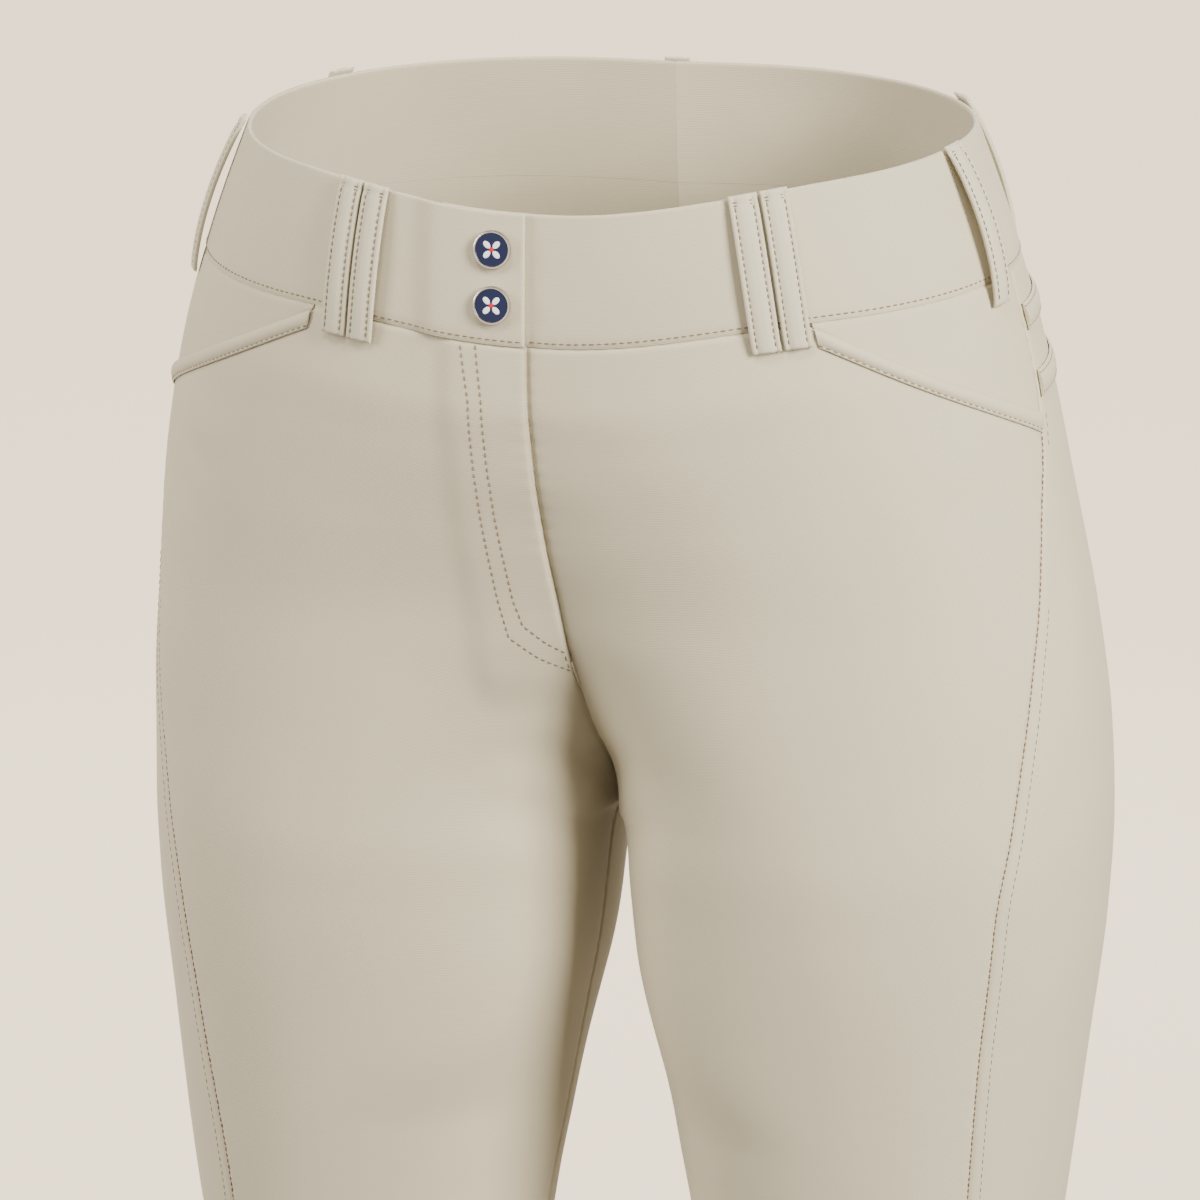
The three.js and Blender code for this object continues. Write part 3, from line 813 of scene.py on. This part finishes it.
def back_strip(side, label, name, middle_level, length):
    """A stitched strip or welt across the back, from the side seam."""
    down, top = np.array(TWO_ROW_SHAPE).T[:, :, None]
    level = middle_level + STRIP_WIDTH * (0.5 - down)
    seam = seam_round(side, label, level, STRIP_END_GAP)
    end = round_beyond(side, level, round_end(level), -STRIP_END_GAP)
    share = np.linspace(0, 1, STRIP_STEPS + 1)[None, :]
    around = lerp(seam, end, length * share)
    outer = over_cloth(side, level, around, ON_TOP_GAP + top)
    inner = over_cloth(side, level, around, ON_TOP_GAP)
    return wall(f"cloth_{name}_{label}", outer, inner, side < 0, cloth)


# Points of a waistband half, even near the front and spread over the rest
BAND_WIDE = 56.0
BAND_STEPS = 150
BAND_END_SHARES = (0.006, 0.0045, 0.0028, 0.0015, 0.0006, 0)

# Its edges as (depth, reach), its swell, the dip along its stitches and its gathers (reach, height, pitch)
BAND_SEAM_TURN = (0.55, 0.9)
BAND_END_TURN = (0.6, 1.0)
BAND_EDGE_INSIDE = 0.9
BAND_SWELL = 0.35
BAND_DIP = 0.22
BAND_DIP_UP = 1.7
BAND_DIP_REACH = 0.8
BAND_GATHERS = (4.0, 0.12, 8.0)


def band_lift(side, level, around):
    """How far the waistband stands out; the right half laps over the left one's end."""
    if side > 0:
        return np.full(np.shape(level), BAND_PROUD)
    width = half_point(level, np.minimum(around, 2))[0]
    past = BAND_UNDERLAP + PAST_EDGE
    over_underlap = 1 - ease(past, past + LIFT_RUN, width)
    lift = BAND_PROUD + (BAND_CLOTH + ON_TOP_GAP) * over_underlap
    return np.where(around > 2, BAND_PROUD, lift)


def waistband(side, label):
    """Waistband half with a rolled top edge and a soft swell between its edges."""
    level = spread_levels(0.0, -BAND_HEIGHT, FINE_STEP)[:, None]
    start_width = -BAND_UNDERLAP if side > 0 else 0.0
    widths = start_width + edge_spread(FINE_STEP, 2 * (BAND_WIDE - start_width))
    widths = widths[widths < BAND_WIDE][None, :]
    share = np.linspace(0, 1, BAND_STEPS)
    share = np.concatenate([share[:-1], 1 - np.array(BAND_END_SHARES)])
    share = np.unique(np.round(share, 5))[None, :]
    near = round_at_width(level, np.abs(widths))
    near = np.where(widths < 0, 2 * round_start(level) - near, near)
    far = lerp(round_at_width(level, BAND_WIDE), round_end(level), share)
    around = np.concatenate([near, far], axis=1)
    crosses = np.concatenate([widths <= 0, np.zeros(share.shape, bool)], axis=1) & (side > 0)
    lift = band_lift(side, level, around)
    base = over_cloth(side, level, around, lift, crosses)
    along = row_distance(base)
    up = column_distance(base, from_end=True)
    folded = np.maximum(fold_turn(column_distance(base), BAND_CLOTH / 2), fold_turn(along, BAND_CLOTH / 2))
    last_edge = seam_turn(row_distance(base, from_end=True), *BAND_END_TURN)
    stitch_dip = BAND_DIP * np.exp(-((up - BAND_DIP_UP) / BAND_DIP_REACH) ** 2)
    outside = np.maximum(folded, seam_turn(up, *BAND_SEAM_TURN)) + last_edge + stitch_dip
    swell = BAND_SWELL * np.sin(math.pi * np.clip(-level / BAND_HEIGHT, 0, 1))
    gathers = pucker(up, along, *BAND_GATHERS)
    outer = over_cloth(side, level, around, lift - outside + swell + gathers, crosses)
    inner = over_cloth(side, level, around, lift - BAND_CLOTH + folded * BAND_EDGE_INSIDE, crosses)
    return wall(f"cloth_waistband_{label}", outer, inner, side < 0, cloth)


def fly_shield():
    """The strip behind the fly's edge, which shows only beside it."""
    level = spread_levels(PANEL_TOP, FLY_BOTTOM, DOWN_STEP)[:, None]
    share = edge_spread(ACROSS_STEP, FLY_SHIELD_WIDTH)[None, :] / FLY_SHIELD_WIDTH
    at_width = round_at_width(level, FLY_SHIELD_WIDTH * share)
    around = np.where(share == 0, round_start(level), at_width)
    outer = over_cloth(-1, level, around, 0)
    inner = over_cloth(-1, level, around, -LEG_CLOTH)
    return wall("cloth_fly_shield", outer, inner, True, cloth)


# Belt loops
LOOP_WIDTH = 11.0
LOOP_CLOTH = 2.0
LOOP_TOP = 1.0
LOOP_BOTTOM = -60.0
PAIR_SPACING = 12.0
LOOP_SEAT = BAND_PROUD + ON_TOP_GAP

# Place round the half at top and bottom, or none on the back centre line, shift sideways and bow outwards
BeltLoop = namedtuple("BeltLoop", "name side top_round bottom_round shift bow")
BELT_LOOPS = [BeltLoop(*row) for row in (
    ("front_left_inner", 1, 1.352, 1.34, -PAIR_SPACING / 2, 2.2),
    ("front_left_outer", 1, 1.352, 1.34, PAIR_SPACING / 2, 2.2),
    ("front_right_inner", -1, 1.24, 1.222, -PAIR_SPACING / 2, 2.2),
    ("front_right_outer", -1, 1.24, 1.222, PAIR_SPACING / 2, 2.2),
    ("side_left", 1, 1.86, 1.86, 0.0, 4.6),
    ("side_right", -1, 1.83, 1.83, 0.0, 3.2),
    ("back_left", 1, 2.36, 2.36, 0.0, 4.4),
    ("back_right", -1, 2.36, 2.36, 0.0, 4.4),
    ("back_centre", 1, None, None, 0.0, 3.6),
)]

# Rolled edges, dips under the stitches and the swell between them
BOW_ROUNDNESS = 0.7
LOOP_ROLL = 0.95
LOOP_ROLL_INSIDE = 0.9
LOOP_STEP = 1.6
LOOP_ACROSS_STEP = 0.6
LOOP_NEAR_EDGE = (0.0, 0.12, 0.35, 0.7)
LOOP_DIP = 0.35
LOOP_DIP_REACH = 0.5
LOOP_SWELL = 0.55
SWELL_FROM = 2.4
SWELL_TO = 4.6
TACK_DOWN = 3.2

# Rows of stitches on a loop: two along it and two short ones across its top
LOOP_STITCH_IN = 2.0
LOOP_ROW_TOP = LOOP_TOP - 4.5
LOOP_ROW_BOTTOM = LOOP_BOTTOM + 1.6
LOOP_ROW_SUNK = 0.12
TACK_ROWS = (LOOP_TOP - 2.6, LOOP_TOP - 3.9)
TACK_IN = 1.3
TACK_SUNK = 0.2
LOOP_STITCH_RADIUS = 0.24
LOOP_STITCH_PITCH = 2.6


def loop_round(loop, level, offset):
    if loop.top_round is None:
        middle = round_end(level)
    else:
        down = (LOOP_TOP - level) / (LOOP_TOP - LOOP_BOTTOM)
        middle = lerp(loop.top_round, loop.bottom_round, down)
    return round_beyond(loop.side, level, middle, loop.shift + offset)


def loop_seat(loop, level):
    down = np.clip((LOOP_TOP - level) / (LOOP_TOP - LOOP_BOTTOM), 0, 1)
    return LOOP_SEAT + loop.bow * np.sin(math.pi * down) ** BOW_ROUNDNESS


def belt_loop(loop):
    """A folded strap, soft between its two stitched rows, bowed out from the waistband."""
    level = spread_levels(LOOP_TOP, LOOP_BOTTOM, LOOP_STEP)[:, None]
    offset = (edge_spread(LOOP_ACROSS_STEP, LOOP_WIDTH, LOOP_NEAR_EDGE) - LOOP_WIDTH / 2)[None, :]
    around = loop_round(loop, level, offset)
    edge = LOOP_WIDTH / 2 - np.abs(offset)
    dip = LOOP_DIP * np.exp(-((edge - LOOP_STITCH_IN) / LOOP_DIP_REACH) ** 2)
    swell = LOOP_SWELL * ease(SWELL_FROM, SWELL_TO, edge)
    ends = np.maximum(np.minimum(LOOP_TOP - level, level - LOOP_BOTTOM), 0)
    rolled = np.maximum(fold_turn(edge, LOOP_ROLL), fold_turn(ends, LOOP_ROLL))
    tack = LOOP_DIP * np.exp(-(LOOP_TOP - level - TACK_DOWN) ** 2)
    seat = loop_seat(loop, level)
    top = seat + LOOP_CLOTH - rolled - dip - tack + swell
    bottom = seat + rolled * LOOP_ROLL_INSIDE
    on_centre = loop.top_round is None
    outer = over_cloth(loop.side, level, around, top, on_centre)
    inner = over_cloth(loop.side, level, around, bottom, on_centre)
    return wall(f"cloth_belt_loop_{loop.name}", outer, inner, loop.side < 0, strap_cloth)


def loop_rows(loop):
    """Rows of stitches on one belt loop."""
    rows = []
    levels = np.linspace(LOOP_ROW_TOP, LOOP_ROW_BOTTOM, 24)
    height = loop_seat(loop, levels) + LOOP_CLOTH - LOOP_ROW_SUNK
    for sign in (-1, 1):
        rounds = loop_round(loop, levels, sign * (LOOP_WIDTH / 2 - LOOP_STITCH_IN))
        rows.append((loop.side, levels, rounds, height))
    offsets = np.linspace(-LOOP_WIDTH / 2 + TACK_IN, LOOP_WIDTH / 2 - TACK_IN, 6)
    for level in TACK_ROWS:
        levels = np.full(len(offsets), level)
        height = loop_seat(loop, levels) + LOOP_CLOTH - TACK_SUNK
        rows.append((loop.side, levels, loop_round(loop, levels, offsets), height))
    return rows


# Snap caps: a metal rim, an enamel face and a small flower of raised enamel
SNAP_WIDTH_IN = 12.3
SNAPS = (("snap_upper", -14.3), ("snap_lower", -35.6))
SNAP_SIDES = 72
RIM_PROFILE = ((0, 0), (5.9, 0), (7.2, 0.5), (7.45, 0.8), (7.5, 1.3), (7.45, 1.9), (7.25, 2.2), (6.95, 2.32),
               (6.65, 2.24), (6.5, 2.02), (6.45, 1.85), (0, 1.85))
FACE_PROFILE = ((6.42, 1.9), (6.3, 2.0), (4, 2.1), (2, 2.15), (0, 2.16))
INLAY_SIDES = 32
INLAY_PROFILE = ((1.0, 0.0), (0.9, 0.06), (0.5, 0.09), (0.02, 0.1))
PETALS = 4
PETAL_REACH = 2.55
PETAL_LONG = 1.75
PETAL_WIDE = 1.15
PETAL_HEIGHT = 2.1
MIDDLE_RADIUS = 0.95
MIDDLE_HEIGHT = 2.15


def turned_piece(name, profile, centre, axes, material, sides, capped=False):
    """Rings of points about an axis, joined into one skin; the axes across may differ in length."""
    across, up, outward = axes
    points = []
    for radius, height in profile:
        for k in range(sides):
            angle = 2 * math.pi * k / sides
            points.append(centre + across * radius * math.cos(angle) + up * radius * math.sin(angle)
                          + outward * height)
    faces = ring_faces(len(profile), sides)
    if capped:
        faces.append(tuple(range(len(points) - sides, len(points))))
    return add_object(name, np.array(points), faces, material, sharp=30)


def keep_inlay(name, centre, axes, material):
    """A thin domed oval that lies on the enamel face."""
    keep(turned_piece(name, INLAY_PROFILE, centre, axes, material, INLAY_SIDES, capped=True),
         slot="snap_metal")


def snap(name, level):
    """A round snap cap, flat on the waistband and upright."""
    around = round_at_width(level, SNAP_WIDTH_IN)
    seat = BAND_PROUD + BAND_CLOTH + 2 * ON_TOP_GAP
    origin = over_cloth(-1, level, around, seat)
    outward = cloth_normal(-1, level, around)
    up = np.array([0.0, 0.0, 1.0])
    up = up - outward * np.dot(up, outward)
    up = up / np.linalg.norm(up)
    across = np.cross(up, outward)
    axes = (across, up, outward)
    rim = turned_piece(f"{name}_rim", RIM_PROFILE, origin, axes, metal, SNAP_SIDES)
    keep(rim, name, slot="snap_metal")
    keep(turned_piece(f"{name}_face", FACE_PROFILE, origin, axes, navy, SNAP_SIDES), slot="snap_metal")
    for turn in range(PETALS):
        angle = (turn + 0.5) * QUARTER
        long_axis = across * math.cos(angle) + up * math.sin(angle)
        wide_axis = up * math.cos(angle) - across * math.sin(angle)
        centre = origin + long_axis * PETAL_REACH + outward * PETAL_HEIGHT
        keep_inlay(f"{name}_petal_{turn + 1}", centre,
                   (long_axis * PETAL_LONG, wide_axis * PETAL_WIDE, outward), white)
    keep_inlay(f"{name}_middle", origin + outward * MIDDLE_HEIGHT,
               (across * MIDDLE_RADIUS, up * MIDDLE_RADIUS, outward), red)


# Build the cloth
pieces = {}
for side, label in SIDES:
    level, around = front_panel(side, label)
    lift = fly_lift(side, level, around)
    pieces[f"front_{label}"] = finish_panel(f"cloth_front_{label}", side, level, around, lift)
    level, around = back_panel(side, label)
    pieces[f"back_{label}"] = finish_panel(f"cloth_back_{label}", side, level, around, 0)
    pieces[f"pocket_facing_{label}"] = pocket_facing(side, label)
    pieces[f"pocket_welt_{label}"] = pocket_welt(side, label)
    pieces[f"waistband_{label}"] = waistband(side, label)
    for strip_name, strip_level, strip_length in BACK_STRIPS:
        pieces[f"{strip_name}_{label}"] = back_strip(side, label, strip_name, strip_level, strip_length)
pieces["fly_shield"] = fly_shield()
for loop in BELT_LOOPS:
    pieces[f"belt_loop_{loop.name}"] = belt_loop(loop)
for node, piece in pieces.items():
    keep(piece, node)

# Sewing: where the rows of stitches start and end, their height over the cloth and points along them
BAND_ROW_UP = 1.9
BAND_ROW_START = 1.5
BAND_ROW_END = 0.004
BAND_ROW_SUNK = 0.1
WELT_ROW_DOWN = 0.85
WELT_ROW_HEIGHT = 0.62
STRIP_ROW_OFF = 3.6
STRIP_ROW_END = 1.4
STRIP_ROW_HEIGHT = 0.68
SEAM_ROW_TOP = -178
SEAM_ROW_STOP = HEM_LEVEL + 4
SEAM_ROW_AWAY = 5.2
# Reach and depth of the dark thread row that paints the shade of the side seam's groove
SEAM_SHADE_THREAD_TOP = POCKET_BOTTOM - 6
SEAM_SHADE_THREAD_STOP = HEM_LEVEL + 3
SEAM_SHADE_THREAD_SUNK = 0.42
HEM_ROW_UP = 14.0
HEM_ROW_END = 0.02
TACK_TOP = -106
TACK_BOTTOM = -119
TACK_AWAY = 5.0
FINE_RADIUS = 0.2
NEAR_POINTS = 12
BAND_POINTS = 60
STRIP_POINTS = 40
HEM_POINTS = 80
LEG_POINTS = 160
TACK_POINTS = 6

stitches = {}


def sew(node, rows, name=None, **style):
    """Adds rows of stitches as one piece and notes which piece of cloth carries them."""
    stitches.setdefault(node, []).append(stitch_rows(f"stitches_{name or node}", rows, **style))


for side, label in SIDES:
    edge = -BAND_HEIGHT + BAND_ROW_UP
    near = round_at_width(edge, np.linspace(BAND_ROW_START, BAND_WIDE, NEAR_POINTS))
    far = np.linspace(near[-1], float(round_end(edge)) - BAND_ROW_END, BAND_POINTS)
    rounds = np.concatenate([near, far[1:]])
    levels = np.full(len(rounds), edge)
    rows = [(side, levels, rounds, band_lift(side, levels, rounds) - BAND_ROW_SUNK)]
    sew(f"waistband_{label}", rows)

    across = np.linspace(POCKET_TIP, POCKET_END, STRIP_POINTS)
    levels = pocket_level(across) - WELT_WIDTH * WELT_ROW_DOWN
    rounds = lerp(POCKET_START[label], seam_round(side, label, levels, 0), across)
    rows = [(side, levels, rounds, ON_TOP_GAP + WELT_ROW_HEIGHT)]
    sew(f"pocket_welt_{label}", rows)

    for strip_name, strip_level, strip_length in BACK_STRIPS:
        rows = []
        for level in (strip_level + STRIP_ROW_OFF, strip_level - STRIP_ROW_OFF):
            seam = float(seam_round(side, label, level, STRIP_ROW_END))
            end = float(round_beyond(side, level, round_end(level), -STRIP_ROW_END))
            rounds = np.linspace(seam, lerp(seam, end, strip_length), STRIP_POINTS)
            rows.append((side, np.full(STRIP_POINTS, level), rounds, ON_TOP_GAP + STRIP_ROW_HEIGHT))
        sew(f"{strip_name}_{label}", rows)

    levels = np.linspace(SEAM_ROW_TOP, SEAM_ROW_STOP, LEG_POINTS)
    beside_seam = (side, levels, seam_round(side, label, levels, SEAM_ROW_AWAY), 0.0)
    hem = np.full(HEM_POINTS, HEM_LEVEL + HEM_ROW_UP)
    seam_at_hem = float(side_seam[label](HEM_LEVEL + HEM_ROW_UP))
    back_hem = (side, hem, np.linspace(seam_at_hem + HEM_ROW_END, 4 - HEM_ROW_END, HEM_POINTS), 0.0)
    front_hem = (side, hem, np.linspace(HEM_ROW_END, seam_at_hem - HEM_ROW_END, HEM_POINTS), 0.0)
    levels = np.linspace(TACK_TOP, TACK_BOTTOM, TACK_POINTS)
    pocket_tack = (side, levels, seam_round(side, label, levels, TACK_AWAY), 0.0)
    sew(f"back_{label}", [beside_seam, back_hem, pocket_tack], radius=FINE_RADIUS)
    sew(f"front_{label}", [front_hem], f"hem_front_{label}", radius=FINE_RADIUS)
    # A thread row sunk into the side seam, coloured dark to paint the shaded line of the seam's groove
    levels = np.linspace(SEAM_SHADE_THREAD_TOP, SEAM_SHADE_THREAD_STOP, LEG_POINTS)
    seam_thread_shade_row = (side, levels, side_seam[label](levels), -SEAM_SHADE_THREAD_SUNK)
    sew(f"front_{label}", [seam_thread_shade_row], f"side_seam_{label}", radius=0.26, pitch=2.5, material=seam_thread)

# The fly's two stitched rows, as (level, distance from the centre front), and the tack where they meet it
FLY_OUTER = ((-52.9, 25.5), (-74.4, 22.9), (-111, 23.0), (-172, 21.9), (-189.5, 20.4), (-199, 11.0),
             (-206, 0.6))
FLY_INNER = ((-52.0, 19.5), (-73.6, 17.7), (-110, 17.5), (-171.6, 16.2), (-184.0, 14.4), (-192, 7.5),
             (-197.5, 0.6))
FLY_TACK = ((-198.5, 1.6), (-205.5, 1.6))
FLY_ROW_HEIGHT = 0.02
FLY_TACK_HEIGHT = -0.1


def fly_row(points, height):
    corners = np.arange(len(points))
    at = np.linspace(0, corners[-1], 8 * corners[-1] + 1)
    levels, widths = [np.interp(at, corners, column) for column in np.array(points).T]
    rounds = round_at_width(levels, widths)
    return (-1, levels, rounds, fly_lift(-1, levels, rounds) + height)


fly_rows = [fly_row(FLY_OUTER, FLY_ROW_HEIGHT), fly_row(FLY_INNER, FLY_ROW_HEIGHT)]
sew("front_right", [*fly_rows, fly_row(FLY_TACK, FLY_TACK_HEIGHT)], "fly")
for loop in BELT_LOOPS:
    sew(f"belt_loop_{loop.name}", loop_rows(loop), radius=LOOP_STITCH_RADIUS, pitch=LOOP_STITCH_PITCH)
for snap_name, snap_level in SNAPS:
    snap(snap_name, snap_level)

# The cut of each sheet of cloth: width and length in metres, and its area
CUTS = (
    ("waistband_left", 0.49, 0.058, 0.0243, ()),
    ("waistband_right", 0.46, 0.058, 0.0225, ()),
    ("front_left", 0.27, 0.89, 0.1387, ("pocket_welt_left",)),
    ("front_right", 0.27, 0.89, 0.1358, ("pocket_welt_right",)),
    ("back_left", 0.34, 0.89, 0.2239, ("yoke_strip_left", "back_welt_left")),
    ("back_right", 0.34, 0.89, 0.2257, ("yoke_strip_right", "back_welt_right")),
    ("pocket_facing_left", 0.10, 0.056, 0.0034, ()),
    ("pocket_facing_right", 0.12, 0.056, 0.0039, ()),
    ("fly_shield", 0.028, 0.162, 0.0038, ()),
)

for node, width, length, area, on_it in CUTS:
    with_pieces = [pieces[name] for name in on_it]
    for name in (*on_it, node):
        with_pieces += stitches.get(name, [])
    rests = ["waistband_left", "waistband_right"]
    if node in rests:
        rests = []
        for loop in BELT_LOOPS:
            if (loop.side > 0) == (node == "waistband_left"):
                loop_name = f"belt_loop_{loop.name}"
                with_pieces += [pieces[loop_name], *stitches[loop_name]]

# Floor and backdrop
FLOOR_LEVEL = -1040.0
WALL_AWAY = 7500.0
WALL_TOP = 4200.0
BEND = 1500.0
BEND_STEPS = 12
WALL_STEPS = 72
PAPER_GLOW = (0.80, 0.65, 0.46, 1)
PAPER_GLOW_STRENGTH = 2.2


def backdrop():
    """A round floor that curves up into a wall all round."""
    profile = []
    for step in range(BEND_STEPS + 1):
        angle = QUARTER * step / BEND_STEPS
        away = WALL_AWAY - BEND + BEND * math.sin(angle)
        profile.append((away, FLOOR_LEVEL + BEND * (1 - math.cos(angle))))
    profile.append((WALL_AWAY, WALL_TOP))
    points = [(0.0, 0.0, FLOOR_LEVEL)]
    for away, level in profile:
        for step in range(WALL_STEPS):
            angle = 2 * math.pi * step / WALL_STEPS
            points.append((away * math.cos(angle), away * math.sin(angle), level))
    faces = [(0, 1 + step, 1 + (step + 1) % WALL_STEPS) for step in range(WALL_STEPS)]
    faces += [face[::-1] for face in ring_faces(len(profile), WALL_STEPS, first=1)]
    return points, faces


paper = plain_material("studio_paper", (0.22, 0.19, 0.15), 0.9)
set_inputs(paper.node_tree, paper.node_tree.nodes["Principled BSDF"],
           {"Emission Color": PAPER_GLOW, "Emission Strength": PAPER_GLOW_STRENGTH})
backdrop_points, backdrop_faces = backdrop()
studio_backdrop = add_object("studio_backdrop", backdrop_points, backdrop_faces, paper)
studio_backdrop.visible_diffuse = False

# Lights: (name, place, aim, size, power in watts, colour), and the light from all round
LIGHTS = (
    ("key_right", (2.75, -1.5, 1.3), (0, 0, -0.35), (1.2, 1.8), 325, (1.0, 0.97, 0.93)),
    ("fill_left", (-2.5, -1.3, 0.9), (-0.05, 0, -0.4), (1.2, 1.8), 105, (1.0, 0.97, 0.925)),
    ("front_high", (-0.2, -2.0, 2.9), (0.0, 0, -0.5), (1.2, 0.8), 80, (1.0, 0.97, 0.93)),
    ("back_soft", (-0.6, 3.2, 0.9), (0, 0, -0.4), (2.0, 2.0), 90, (1.0, 0.98, 0.95)),
    ("backdrop_light", (-1.2, 3.4, 3.4), (-1.8, 6.4, 0.0), (5.0, 2.0), 500, (1.0, 0.955, 0.89)),
)
ALL_ROUND_COLOUR = (1.0, 0.975, 0.94, 1)
ALL_ROUND_STRENGTH = 0.24


def aim(obj, location, direction):
    """Places a light or a camera, turned to look along a direction."""
    obj.location = location
    obj.rotation_mode = "QUATERNION"
    obj.rotation_quaternion = direction.to_track_quat("-Z", "Y")
    bpy.context.collection.objects.link(obj)


def area_light(name, location, target, size, power, colour):
    data = bpy.data.lights.new(name, "AREA")
    data.shape = "RECTANGLE"
    data.size = size[0]
    data.size_y = size[1]
    data.energy = power
    data.color = colour
    light = bpy.data.objects.new(name, data)
    aim(light, location, Vector(target) - Vector(location))


for light_values in LIGHTS:
    area_light(*light_values)

world = bpy.data.worlds.new("studio")
bpy.context.scene.world = world
world.use_nodes = True
set_inputs(world.node_tree, world.node_tree.nodes["Background"],
           {"Color": ALL_ROUND_COLOUR, "Strength": ALL_ROUND_STRENGTH})

# Camera at the photo's viewing angle
AZIMUTH = math.radians(17)
ELEVATION = math.radians(12)
DISTANCE = 2.8
AIM = Vector((-0.0025, 0, -0.193))
camera_data = bpy.data.cameras.new("photo_camera")
camera_data.lens = 210
camera_data.sensor_width = 36
camera = bpy.data.objects.new("photo_camera", camera_data)
back = Vector((math.sin(AZIMUTH) * math.cos(ELEVATION), -math.cos(AZIMUTH) * math.cos(ELEVATION),
               math.sin(ELEVATION)))
aim(camera, AIM + back * DISTANCE, -back)
bpy.context.scene.camera = camera
